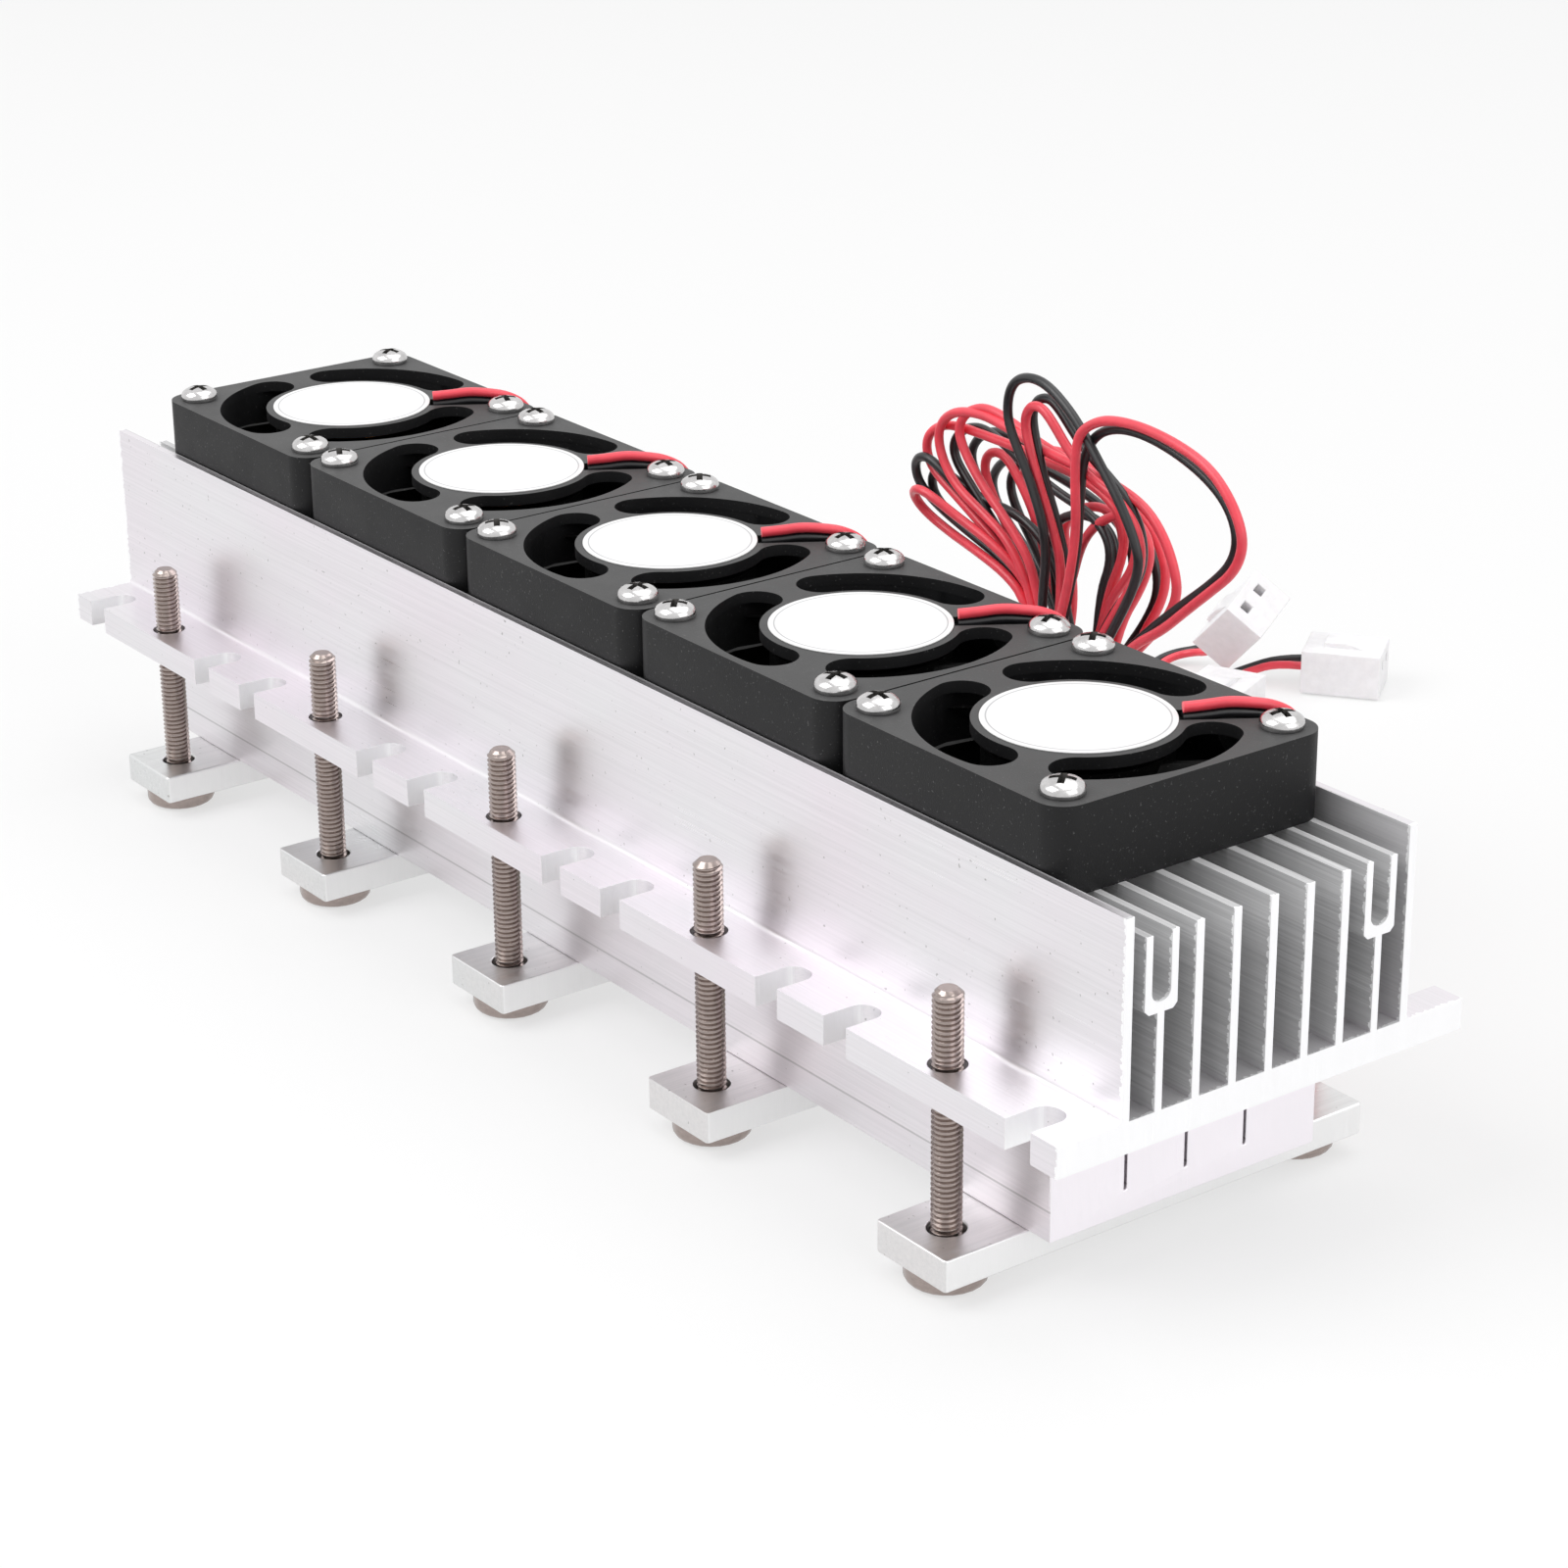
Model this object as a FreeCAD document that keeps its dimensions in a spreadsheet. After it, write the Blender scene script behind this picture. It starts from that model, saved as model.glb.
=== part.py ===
# Thermoelectric cooling module: five fans screwed down on a finned heatsink, five Peltier modules
# under it, a cold block under those, and five clamp bars with ten screws that hold the stack.
# Row frame: X along the heatsink, +Y towards the fan leads, +Z up, origin at bottom centre.
import FreeCAD, Part
import math
import os

import Sketcher

os.makedirs("parts", exist_ok=True)
doc = FreeCAD.newDocument("CoolingModule")
sheet = doc.addObject("Spreadsheet::Sheet", "Sizes")
V = FreeCAD.Vector
UP = V(0, 0, 1)


# Sizes

class Size:
    """A size that knows its value and the spreadsheet expression behind it."""

    def __init__(self, value, text):
        self.value = float(value)
        self.text = text

    def joined(self, sign, other, value, swap=False):
        right = other.text if isinstance(other, Size) else repr(other)
        pair = (right, sign, self.text) if swap else (self.text, sign, right)
        return Size(value, "(%s %s %s)" % pair)

    def __add__(self, other):
        return self.joined("+", other, self.value + plain(other))

    def __sub__(self, other):
        return self.joined("-", other, self.value - plain(other))

    def __rsub__(self, other):
        return self.joined("-", other, other - self.value, swap=True)

    def __mul__(self, other):
        return self.joined("*", other, self.value * plain(other))

    def __truediv__(self, other):
        return self.joined("/", other, self.value / plain(other))

    def __neg__(self):
        return self * -1


def plain(size):
    return size.value if isinstance(size, Size) else size


ZERO = Size(0, "0")
DIMENSIONS = {
    # stations along the heatsink: plate, slot and half tab make one unit, one unit for each module
    "stations": 5, "plateLength": 27.8, "slotWidth": 4.2, "halfTab": 4.4,
    # heatsink extrusion
    "flangeWidth": 8.85, "baseThick": 3.8, "finHeight": 20.8, "finThick": 1.1, "wallThick": 1.1,
    "wallRise": 2.9, "wallClearance": 0.2, "wallFoot": 0.7, "slotDepth": 6.0, "stemThick": 1.0,
    "prongThick": 0.95, "forkGap": 2.7, "forkDepth": 7.9, "forkFloor": 1.25, "forkChamfer": 0.6,
    # cold block and Peltier modules
    "blockEnd": 3.8, "blockWidth": 40.0, "blockHeight": 12.0, "slitWidth": 0.4, "slitDepth": 8.8,
    "slitReach": 1.5, "slitPitch": 9.0,
    "moduleSide": 39.8, "moduleGap": 0.2, "plateThick": 0.8, "coreThick": 2.8, "sealInset": 0.8,
    # clamps
    "barWidth": 12.4, "barEnd": 0.25, "barThick": 4.0, "barCorner": 0.5,
    "clampInset": 3.4, "clampHole": 4.6, "clampShank": 3.5, "clampThread": 3.9, "threadLift": 0.2,
    "clampLength": 33.4, "headWidth": 9.8, "headHeight": 2.4,
    "headRound": 1.0, "tipChamfer": 0.5, "socketWidth": 2.8, "socketDepth": 1.3,
    # fan
    "fanGap": 0.3, "fanDepth": 10.5, "fanCorner": 3.4, "holePitch": 32.0, "holeEdge": 3.85,
    "fanHole": 3.4, "topPlate": 1.5, "boreWall": 1.05, "openInner": 24.4, "bossWidth": 6.0,
    "bossGap": 0.5, "sleeveWidth": 4.4, "sleeveInset": 0.6, "sleeveClearance": 0.05,
    "labelWidth": 22.4, "labelThick": 0.15, "grooveWidth": 3.2, "grooveDepth": 0.9, "grooveReach": 21.5,
    "notchDepth": 2.6,
    # rotor
    "shaftWidth": 2.0, "shaftClearance": 0.04, "hubWidth": 22.0, "hubWall": 2.0, "hubFloor": 1.2,
    "rimGap": 1.1, "rotorLift": 0.7, "tipGap": 0.6, "bladeCount": 7, "bladeThick": 0.8,
    "bladeInset": 0.4, "bladeSweep": 24.0, "rootPitch": 42.0, "tipPitch": 30.0,
    # stator
    "rotorGap": 0.8, "poleArm": 1.8, "poleShoe": 5.6, "shoeThick": 1.0, "coreStack": 2.6,
    "coilWidth": 4.2, "coilHeight": 4.2, "statorClearance": 0.1,
    # fan screws
    "screwHead": 5.2, "screwHeadHeight": 1.9, "screwHeadEdge": 0.6, "screwShank": 2.5,
    "screwLength": 16.0, "screwPoint": 1.2,
    # fan leads
    "leadWidth": 2.2, "hankFront": 39.0, "hankThick": 14.0, "tieHeight": 24.5,
    "tieWidth": 3.0, "tieThick": 1.0, "tieClearance": 0.1,
    "connectorLength": 12.4, "connectorWidth": 9.8, "connectorHeight": 7.0, "contactPitch": 4.2,
    "contactWidth": 1.6, "contactDepth": 9.0, "contactRise": 1.2, "latchWidth": 4.0, "latchHeight": 0.8,
}
for row, (name, value) in enumerate(DIMENSIONS.items(), 1):
    sheet.set("A%d" % row, name)
    sheet.set("B%d" % row, str(value))
    sheet.setAlias("B%d" % row, name)
doc.recompute()
S = {name: Size(getattr(sheet, name), "Sizes." + name) for name in DIMENSIONS}

STATIONS = int(S["stations"].value)
UNIT = S["plateLength"] + S["slotWidth"] * 2 + S["halfTab"] * 2
LENGTH = UNIT * S["stations"]
BAR_BOTTOM = S["headHeight"]
BLOCK_BOTTOM = BAR_BOTTOM + S["barThick"]
MODULE_BOTTOM = BLOCK_BOTTOM + S["blockHeight"]
SINK_BOTTOM = MODULE_BOTTOM + S["plateThick"] * 2 + S["coreThick"]
FAN_BOTTOM = SINK_BOTTOM + S["baseThick"] + S["finHeight"]
FAN_TOP = FAN_BOTTOM + S["fanDepth"]
FAN_SIDE = S["holePitch"] + S["holeEdge"] * 2
FAN_PITCH = FAN_SIDE + S["fanGap"]
FAN_BORE = FAN_SIDE - S["boreWall"] * 2
CEILING = S["fanDepth"] - S["topPlate"]
HUB_HEIGHT = CEILING - S["rotorLift"] - S["rimGap"]
BLADE_HEIGHT = HUB_HEIGHT - S["bladeInset"] * 2
BOSS_HEIGHT = CEILING - S["rotorLift"] - S["hubFloor"] - S["bossGap"]
SLEEVE_HEIGHT = BOSS_HEIGHT - S["sleeveInset"]
POLE_REACH = S["hubWidth"] / 2 - S["hubWall"] - S["rotorGap"]
WALL_INSIDE = FAN_SIDE / 2 + S["wallClearance"]
WALL_OUTSIDE = WALL_INSIDE + S["wallThick"]
SINK_EDGE = WALL_OUTSIDE + S["flangeWidth"]
CLAMP_Y = SINK_EDGE - S["clampInset"]
MODULE_PITCH = S["moduleSide"] + S["moduleGap"]
BAR_REACH = CLAMP_Y + S["headWidth"] / 2 + S["barEnd"]
BLOCK_REACH = UNIT * (S["stations"] - 1) / 2 + S["barWidth"] / 2 + S["blockEnd"]


def station(number, pitch):
    """The middle of station number 1 to 5, counted towards +X."""
    return pitch * (number - (STATIONS + 1) / 2)


# Drawing helpers

def bind(thing, path, size):
    thing.setExpression(path, size.text)


def place(thing, x=ZERO, y=ZERO, z=ZERO):
    thing.Placement = FreeCAD.Placement(V(x.value, y.value, z.value), FreeCAD.Rotation())
    for axis, size in (("x", x), ("y", y), ("z", z)):
        if size is not ZERO:
            bind(thing, "Placement.Base." + axis, size)


def new_body(name):
    body = doc.addObject("PartDesign::Body", name)
    body.Label = name
    return body


def origin_feature(body, role):
    return [feature for feature in body.Origin.OriginFeatures if feature.Role == role][0]


def new_sketch(body, plane, height=ZERO):
    sketch = body.newObject("Sketcher::SketchObject", body.Name + "_sketch")
    sketch.AttachmentSupport = [(origin_feature(body, plane), "")]
    sketch.MapMode = "FlatFace"
    if height is not ZERO:
        sketch.AttachmentOffset = FreeCAD.Placement(V(0, 0, height.value), FreeCAD.Rotation())
        bind(sketch, ".AttachmentOffset.Base.z", height)
    return sketch


def hold(sketch, rules):
    """Add the constraints, then tie each one that has a size to the spreadsheet."""
    first = sketch.ConstraintCount
    sketch.addConstraint([rule for rule, size in rules])
    for step, (rule, size) in enumerate(rules):
        if size is not None:
            bind(sketch, "Constraints[%d]" % (first + step), size)


def pin_point(geometry, point, x, y):
    """Constraints that hold one point of a sketch at x, y from its origin."""
    rules = []
    for kind, size, axis in (("DistanceX", x, -2), ("DistanceY", y, -1)):
        if size is ZERO:
            rules.append((Sketcher.Constraint("PointOnObject", geometry, point, axis), None))
        else:
            rules.append((Sketcher.Constraint(kind, -1, 1, geometry, point, size.value), size))
    return rules


def arc_between(start, end, radius):
    """An arc of a circle from start to end; a positive radius turns left, a negative one right."""
    chord = end - start
    middle = (start + end) / 2
    rise = math.sqrt(radius ** 2 - (chord.Length / 2) ** 2)
    side = V(-chord.y, chord.x, 0).normalize() * math.copysign(rise, radius)
    centre = middle + side
    first, last = (start, end) if radius > 0 else (end, start)
    angles = [math.atan2(point.y - centre.y, point.x - centre.x) for point in (first, last)]
    return Part.ArcOfCircle(Part.Circle(centre, UP, abs(radius)), angles[0], angles[1])


def draw_loop(sketch, corners):
    """A closed outline. Each corner is (x, y), or (x, y, radius) where an arc runs to the next one."""
    base = sketch.GeometryCount
    count = len(corners)
    points = [V(corner[0].value, corner[1].value, 0) for corner in corners]
    shapes, ends, rules = [], [], []
    for step, corner in enumerate(corners):
        start, end = points[step], points[(step + 1) % count]
        radius = corner[2] if len(corner) > 2 else None
        if radius is None:
            shapes.append(Part.LineSegment(start, end))
            ends.append((1, 2))
        else:
            shapes.append(arc_between(start, end, radius.value))
            ends.append((1, 2) if radius.value > 0 else (2, 1))
            size = radius if radius.value > 0 else -radius
            rules.append((Sketcher.Constraint("Radius", base + step, size.value), size))
    sketch.addGeometry(shapes, False)
    for step, corner in enumerate(corners):
        following = (step + 1) % count
        rules.append((Sketcher.Constraint("Coincident", base + step, ends[step][1],
                                          base + following, ends[following][0]), None))
        rules += pin_point(base + step, ends[step][0], corner[0], corner[1])
    hold(sketch, rules)


def draw_circle(sketch, x, y, width):
    radius = width / 2
    base = sketch.addGeometry(Part.Circle(V(x.value, y.value, 0), UP, radius.value), False)
    hold(sketch, [(Sketcher.Constraint("Radius", base, radius.value), radius)] + pin_point(base, 3, x, y))


def rectangle(left, right, low, high):
    return [(left, low), (right, low), (right, high), (left, high)]


def rounded(half_x, half_y, left, right):
    """The outline of a rectangle about the origin, with one corner radius on its left, one on its right."""
    return [(left - half_x, -half_y), (half_x - right, -half_y, right),
            (half_x, right - half_y), (half_x, half_y - right, right),
            (half_x - right, half_y), (left - half_x, half_y, left),
            (-half_x, half_y - left), (-half_x, left - half_y, left)]


def extrude(body, kind, sketch, length, reverse=False, midplane=False):
    """A Pad or a Pocket of the sketch."""
    feature = body.newObject("PartDesign::" + kind, body.Name + "_" + kind.lower())
    feature.Profile = sketch
    feature.Length = length.value
    bind(feature, "Length", length)
    feature.Reversed = reverse
    if midplane:
        feature.SideType = "Symmetric"
    sketch.Visibility = False
    doc.recompute()
    return feature


def revolve(body, sketch):
    feature = body.newObject("PartDesign::Revolution", body.Name + "_turned")
    feature.Profile = sketch
    feature.ReferenceAxis = (sketch, ["V_Axis"])
    feature.Angle = 360
    doc.recompute()
    return feature


def repeat_around(body, originals, count):
    pattern = body.newObject("PartDesign::PolarPattern", body.Name + "_round")
    pattern.Originals = originals
    pattern.Axis = (origin_feature(body, "Z_Axis"), [""])
    pattern.Angle = 360
    pattern.Occurrences = count
    body.Tip = pattern
    doc.recompute()
    return pattern


def repeat_along(body, originals, length, count):
    pattern = body.newObject("PartDesign::LinearPattern", body.Name + "_row")
    pattern.Originals = originals
    pattern.Direction = (origin_feature(body, "X_Axis"), [""])
    pattern.Length = length.value
    bind(pattern, "Length", length)
    pattern.Occurrences = count
    body.Tip = pattern
    doc.recompute()
    return pattern


def shaped(name, shape):
    """A node whose shape comes from Part's own functions."""
    thing = doc.addObject("Part::Feature", name)
    thing.Label = name
    thing.Shape = shape
    return thing


nodes = []


# Heatsink: one extrusion, slotted and drilled

def heatsink_half():
    """The right half of the extrusion's section, from its middle to the flange's edge."""
    floor = S["baseThick"]
    top = floor + S["finHeight"]
    pitch = S["holePitch"] / 6
    half_fin = S["finThick"] / 2
    corners = [(ZERO, ZERO), (SINK_EDGE, ZERO), (SINK_EDGE, floor)]
    foot = S["wallFoot"]
    corners += [(WALL_OUTSIDE + foot, floor, -foot), (WALL_OUTSIDE, floor + foot),
                (WALL_OUTSIDE, top + S["wallRise"]),
                (WALL_INSIDE, top + S["wallRise"]), (WALL_INSIDE, floor)]
    middle = S["holePitch"] / 2
    stem = S["stemThick"] / 2
    inner = S["forkGap"] / 2
    outer = inner + S["prongThick"]
    gap_floor = top - S["forkDepth"]
    shoulder = gap_floor - S["forkFloor"]
    bend = S["forkGap"] * 0.45
    cut = S["forkChamfer"]
    corners += [(middle + stem, floor), (middle + stem, shoulder), (middle + outer - cut, shoulder),
                (middle + outer, shoulder + cut), (middle + outer, top), (middle + inner, top),
                (middle + inner, gap_floor + bend, -bend), (middle + inner - bend, gap_floor),
                (middle - inner + bend, gap_floor, -bend), (middle - inner, gap_floor + bend),
                (middle - inner, top), (middle - outer, top), (middle - outer, shoulder + cut),
                (middle - outer + cut, shoulder), (middle - stem, shoulder), (middle - stem, floor)]
    for fin in (2, 1):
        corners += [(pitch * fin + half_fin, floor), (pitch * fin + half_fin, top),
                    (pitch * fin - half_fin, top), (pitch * fin - half_fin, floor)]
    return corners + [(half_fin, floor), (half_fin, top), (ZERO, top)]


def make_heatsink():
    body = new_body("heatsink")
    section = new_sketch(body, "YZ_Plane")
    draw_loop(section, heatsink_half())
    half = extrude(body, "Pad", section, LENGTH, midplane=True)
    whole = body.newObject("PartDesign::Mirrored", "heatsink_whole")
    whole.Originals = [half]
    whole.MirrorPlane = (origin_feature(body, "XZ_Plane"), [""])
    body.Tip = whole
    doc.recompute()
    first = station(1, UNIT)
    edge = SINK_EDGE
    overrun = S["slotWidth"] / 2
    inside = edge - S["slotDepth"]
    bend = S["slotWidth"] * 0.45
    slots = new_sketch(body, "XY_Plane")
    for side in (-1, 1):
        near = first + (S["plateLength"] / 2 if side > 0 else -S["plateLength"] / 2 - S["slotWidth"])
        far = near + S["slotWidth"]
        draw_loop(slots, [(near, edge + overrun), (near, inside + bend, bend), (near + bend, inside),
                          (far - bend, inside, bend), (far, inside + bend), (far, edge + overrun)])
        draw_loop(slots, [(near, -edge - overrun), (far, -edge - overrun), (far, -inside - bend, bend),
                          (far - bend, -inside), (near + bend, -inside, bend), (near, -inside - bend)])
    for side in (-1, 1):
        draw_circle(slots, first, CLAMP_Y * side, S["clampHole"])
    cut = extrude(body, "Pocket", slots, S["baseThick"], reverse=True)
    repeat_along(body, [cut], UNIT * (S["stations"] - 1), STATIONS)
    place(body, z=SINK_BOTTOM)
    nodes.append(body)


# Cold block, Peltier modules and clamps

def make_cold_block():
    body = new_body("cold_block")
    outline = new_sketch(body, "XY_Plane")
    half_x, half_y = BLOCK_REACH, S["blockWidth"] / 2
    draw_loop(outline, rectangle(-half_x, half_x, -half_y, half_y))
    extrude(body, "Pad", outline, S["blockHeight"])
    slits = new_sketch(body, "XY_Plane", S["blockHeight"] - S["slitDepth"])
    half_slit = S["slitWidth"] / 2
    for row in (-1, 0, 1):
        low, high = S["slitPitch"] * row - half_slit, S["slitPitch"] * row + half_slit
        draw_loop(slits, rectangle(half_x - S["slitReach"], half_x + half_slit, low, high))
        draw_loop(slits, rectangle(-half_x - half_slit, -half_x + S["slitReach"], low, high))
    extrude(body, "Pocket", slits, S["slitDepth"], reverse=True)
    place(body, z=BLOCK_BOTTOM)
    nodes.append(body)


def make_peltier(number):
    body = new_body("peltier_module_%d" % number)
    half = S["moduleSide"] / 2
    core = half - S["sealInset"]
    levels = [(ZERO, half, S["plateThick"]), (S["plateThick"], core, S["coreThick"]),
              (S["plateThick"] + S["coreThick"], half, S["plateThick"])]
    for height, reach, thick in levels:
        sketch = new_sketch(body, "XY_Plane", height)
        draw_loop(sketch, rectangle(-reach, reach, -reach, reach))
        extrude(body, "Pad", sketch, thick)
    place(body, x=station(number, MODULE_PITCH), z=MODULE_BOTTOM)
    nodes.append(body)


def make_clamp_bar(number):
    body = new_body("clamp_bar_%d" % number)
    sketch = new_sketch(body, "XY_Plane")
    draw_loop(sketch, rounded(S["barWidth"] / 2, BAR_REACH, S["barCorner"], S["barCorner"]))
    for side in (-1, 1):
        draw_circle(sketch, ZERO, CLAMP_Y * side, S["clampHole"])
    extrude(body, "Pad", sketch, S["barThick"])
    place(body, x=station(number, UNIT), z=BAR_BOTTOM)
    nodes.append(body)


def make_clamp_screws():
    """Ten screws with flat round heads and hexagon sockets; each is turned, its head down."""
    body = doc.addObject("PartDesign::Body", "clamp_screw_form")
    sketch = new_sketch(body, "XZ_Plane")
    head, shank, thread = S["headWidth"] / 2, S["clampShank"] / 2, S["clampThread"] / 2
    grip = SINK_BOTTOM + S["baseThick"] + S["threadLift"]
    top = S["headHeight"] + S["clampLength"]
    corner = S["headRound"]
    draw_loop(sketch, [(ZERO, ZERO), (head - corner, ZERO, corner), (head, corner), (head, S["headHeight"]),
                       (shank, S["headHeight"]), (shank, grip), (thread, grip),
                       (thread, top - S["tipChamfer"]), (thread - S["tipChamfer"], top), (ZERO, top)])
    revolve(body, sketch)
    socket = new_sketch(body, "XY_Plane")
    across = S["socketWidth"] / 2
    draw_loop(socket, [(across, across * 0.57735), (ZERO, across * 1.1547), (-across, across * 0.57735),
                       (-across, across * -0.57735), (ZERO, across * -1.1547), (across, across * -0.57735)])
    extrude(body, "Pocket", socket, S["socketDepth"], reverse=True)
    screws = [body.Shape.translated(V(station(number, UNIT).value, CLAMP_Y.value * side, 0))
              for number in range(1, STATIONS + 1) for side in (-1, 1)]
    nodes.append(shaped("clamp_screws", Part.makeCompound(screws)))


# Fan

LEAD_ANGLE = 56.0                        # the strut that carries the lead, from +X towards +Y
FAN_OPENINGS = ((80, 172.5), (186, 292), (307, 47))     # where each opening of the top plate starts and ends


def arc_slot(start, end, inner, outer, low, high):
    """A curved slot with round ends, between two angles of its outline in degrees."""
    if end < start:
        end += 360
    cap = (outer - inner) / 2
    middle = (outer + inner) / 2
    margin = math.degrees(math.asin(cap / middle))
    begin, finish = start + margin, end - margin

    def at(radius, angle):
        return V(radius * math.cos(math.radians(angle)), radius * math.sin(math.radians(angle)), low)

    half = (begin + finish) / 2
    side = math.degrees(cap / middle)
    edges = [Part.Arc(at(outer, begin), at(outer, half), at(outer, finish)),
             Part.Arc(at(outer, finish), at(middle, finish + side), at(inner, finish)),
             Part.Arc(at(inner, finish), at(inner, half), at(inner, begin)),
             Part.Arc(at(inner, begin), at(middle, begin - side), at(outer, begin))]
    wire = Part.Wire([edge.toShape() for edge in edges])
    return Part.Face(wire).extrude(V(0, 0, high - low))


def lead_recess():
    """The groove that takes the lead from the hub to the frame's edge, and the notch it leaves by."""
    width, reach = S["grooveWidth"].value, S["grooveReach"].value
    start, side, top = S["labelWidth"].value / 2, FAN_SIDE.value / 2, S["fanDepth"].value
    groove = Part.makeBox(reach - start, width, side, V(start, -width / 2, top - S["grooveDepth"].value))
    groove.rotate(V(0, 0, 0), UP, LEAD_ANGLE)
    angle = math.radians(LEAD_ANGLE)
    corner = V(reach * math.cos(angle) - width / 2, reach * math.sin(angle) - width / 6,
               top - S["notchDepth"].value)
    return groove.fuse(Part.makeBox(width, side, side, corner))


def make_fan_frame(number):
    """A moulded square frame with a round bore, a top plate with three openings and a bearing boss."""
    form = doc.addObject("PartDesign::Body", "fan_form_%d" % number)
    outline = new_sketch(form, "XY_Plane")
    half = FAN_SIDE / 2
    draw_loop(outline, rounded(half, half, S["fanCorner"], S["fanCorner"]))
    for side_x in (-1, 1):
        for side_y in (-1, 1):
            draw_circle(outline, S["holePitch"] / 2 * side_x, S["holePitch"] / 2 * side_y, S["fanHole"])
    extrude(form, "Pad", outline, S["fanDepth"])
    bore = new_sketch(form, "XY_Plane")
    draw_circle(bore, ZERO, ZERO, FAN_BORE)
    extrude(form, "Pocket", bore, CEILING, reverse=True)
    boss = new_sketch(form, "XY_Plane", CEILING)
    draw_circle(boss, ZERO, ZERO, S["bossWidth"])
    draw_circle(boss, ZERO, ZERO, S["sleeveWidth"] + S["sleeveClearance"] * 2)
    extrude(form, "Pad", boss, BOSS_HEIGHT, reverse=True)
    low, high = CEILING.value - S["topPlate"].value, S["fanDepth"].value + S["topPlate"].value
    inner, outer = S["openInner"].value / 2, FAN_BORE.value / 2 - S["sleeveClearance"].value
    slots = [arc_slot(start, end, inner, outer, low, high) for start, end in FAN_OPENINGS]
    openings = shaped("fan_openings_%d" % number, Part.makeCompound(slots + [lead_recess()]))
    frame = doc.addObject("Part::Cut", "fan_frame_%d" % number)
    frame.Label = "fan_frame_%d" % number
    frame.Base = form
    frame.Tool = openings
    place(frame, x=station(number, FAN_PITCH), z=FAN_BOTTOM)
    nodes.append(frame)


def blade():
    """One twisted blade, lofted from its root in the hub to its tip."""
    root = S["hubWidth"].value / 2 - S["hubWall"].value / 4
    tip = FAN_BORE.value / 2 - S["tipGap"].value
    height = BLADE_HEIGHT.value
    thick = S["bladeThick"].value
    low = S["rotorLift"].value + (HUB_HEIGHT.value - height) / 2
    sections = []
    for share in (0.0, 0.5, 1.0):
        radius = root + (tip - root) * share
        pitch = math.radians(plain(S["rootPitch"]) + (plain(S["tipPitch"]) - plain(S["rootPitch"])) * share)
        run = height / math.tan(pitch) / 2
        turn = S["bladeSweep"].value * share
        half = thick / math.sin(pitch) / 2
        corners = [V(radius, -run - half, low), V(radius, -run + half, low),
                   V(radius, run + half, low + height), V(radius, run - half, low + height)]
        wire = Part.makePolygon(corners + corners[:1])
        wire.rotate(V(0, 0, 0), UP, turn)
        sections.append(wire)
    return Part.makeLoft(sections, True, True)


def make_impeller(number):
    """Hub cup with its shaft, turned in one, and seven blades around it."""
    hub = doc.addObject("PartDesign::Body", "hub_form_%d" % number)
    sketch = new_sketch(hub, "XZ_Plane")
    low = S["rotorLift"]
    floor = low + S["hubFloor"]
    rim = low + HUB_HEIGHT
    outside, inside = S["hubWidth"] / 2, S["hubWidth"] / 2 - S["hubWall"]
    shaft = S["shaftWidth"] / 2
    shaft_top = CEILING - (BOSS_HEIGHT - SLEEVE_HEIGHT) / 2
    draw_loop(sketch, [(ZERO, low), (outside, low), (outside, rim), (inside, rim), (inside, floor),
                       (shaft, floor), (shaft, shaft_top), (ZERO, shaft_top)])
    revolve(hub, sketch)
    count = int(S["bladeCount"].value)
    one = blade()
    blades = [one.rotated(V(0, 0, 0), UP, 360.0 * step / count) for step in range(count)]
    keep = Part.makeCylinder(FAN_BORE.value / 2 - S["tipGap"].value, S["fanDepth"].value)
    set_of_blades = shaped("blades_%d" % number, Part.makeCompound([wing.common(keep) for wing in blades]))
    impeller = doc.addObject("Part::Fuse", "impeller_%d" % number)
    impeller.Label = "impeller_%d" % number
    impeller.Base = hub
    impeller.Tool = set_of_blades
    place(impeller, x=station(number, FAN_PITCH), z=FAN_BOTTOM)
    nodes.append(impeller)


def make_stator(number):
    """Four-pole core on the bearing boss, with a coil on each pole."""
    body = new_body("stator_%d" % number)
    ring = S["bossWidth"] / 2 + S["statorClearance"]
    middle = S["rotorLift"] + S["hubFloor"] + HUB_HEIGHT / 2
    core_low = middle - S["coreStack"] / 2
    core = new_sketch(body, "XY_Plane", core_low)
    draw_circle(core, ZERO, ZERO, (ring + S["poleArm"]) * 2)
    draw_circle(core, ZERO, ZERO, ring * 2)
    extrude(body, "Pad", core, S["coreStack"])
    pole = new_sketch(body, "XY_Plane", core_low)
    arm, shoe = S["poleArm"] / 2, S["poleShoe"] / 2
    root = ring + S["poleArm"] / 2
    face = POLE_REACH
    neck = face - S["shoeThick"]
    draw_loop(pole, [(root, -arm), (neck, -arm), (neck, -shoe), (face, -shoe), (face, shoe),
                     (neck, shoe), (neck, arm), (root, arm)])
    poles = extrude(body, "Pad", pole, S["coreStack"])
    coil = new_sketch(body, "XY_Plane", middle - S["coilHeight"] / 2)
    half = S["coilWidth"] / 2
    draw_loop(coil, rectangle(ring + S["poleArm"], neck, -half, half))
    coils = extrude(body, "Pad", coil, S["coilHeight"])
    repeat_around(body, [poles, coils], 4)
    place(body, x=station(number, FAN_PITCH), z=FAN_BOTTOM)
    nodes.append(body)


def make_bearing_sleeve(number):
    body = new_body("bearing_sleeve_%d" % number)
    sketch = new_sketch(body, "XY_Plane")
    draw_circle(sketch, ZERO, ZERO, S["sleeveWidth"])
    draw_circle(sketch, ZERO, ZERO, S["shaftWidth"] + S["shaftClearance"] * 2)
    extrude(body, "Pad", sketch, SLEEVE_HEIGHT)
    low = FAN_TOP - S["topPlate"] - BOSS_HEIGHT
    place(body, x=station(number, FAN_PITCH), z=low)
    nodes.append(body)


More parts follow.
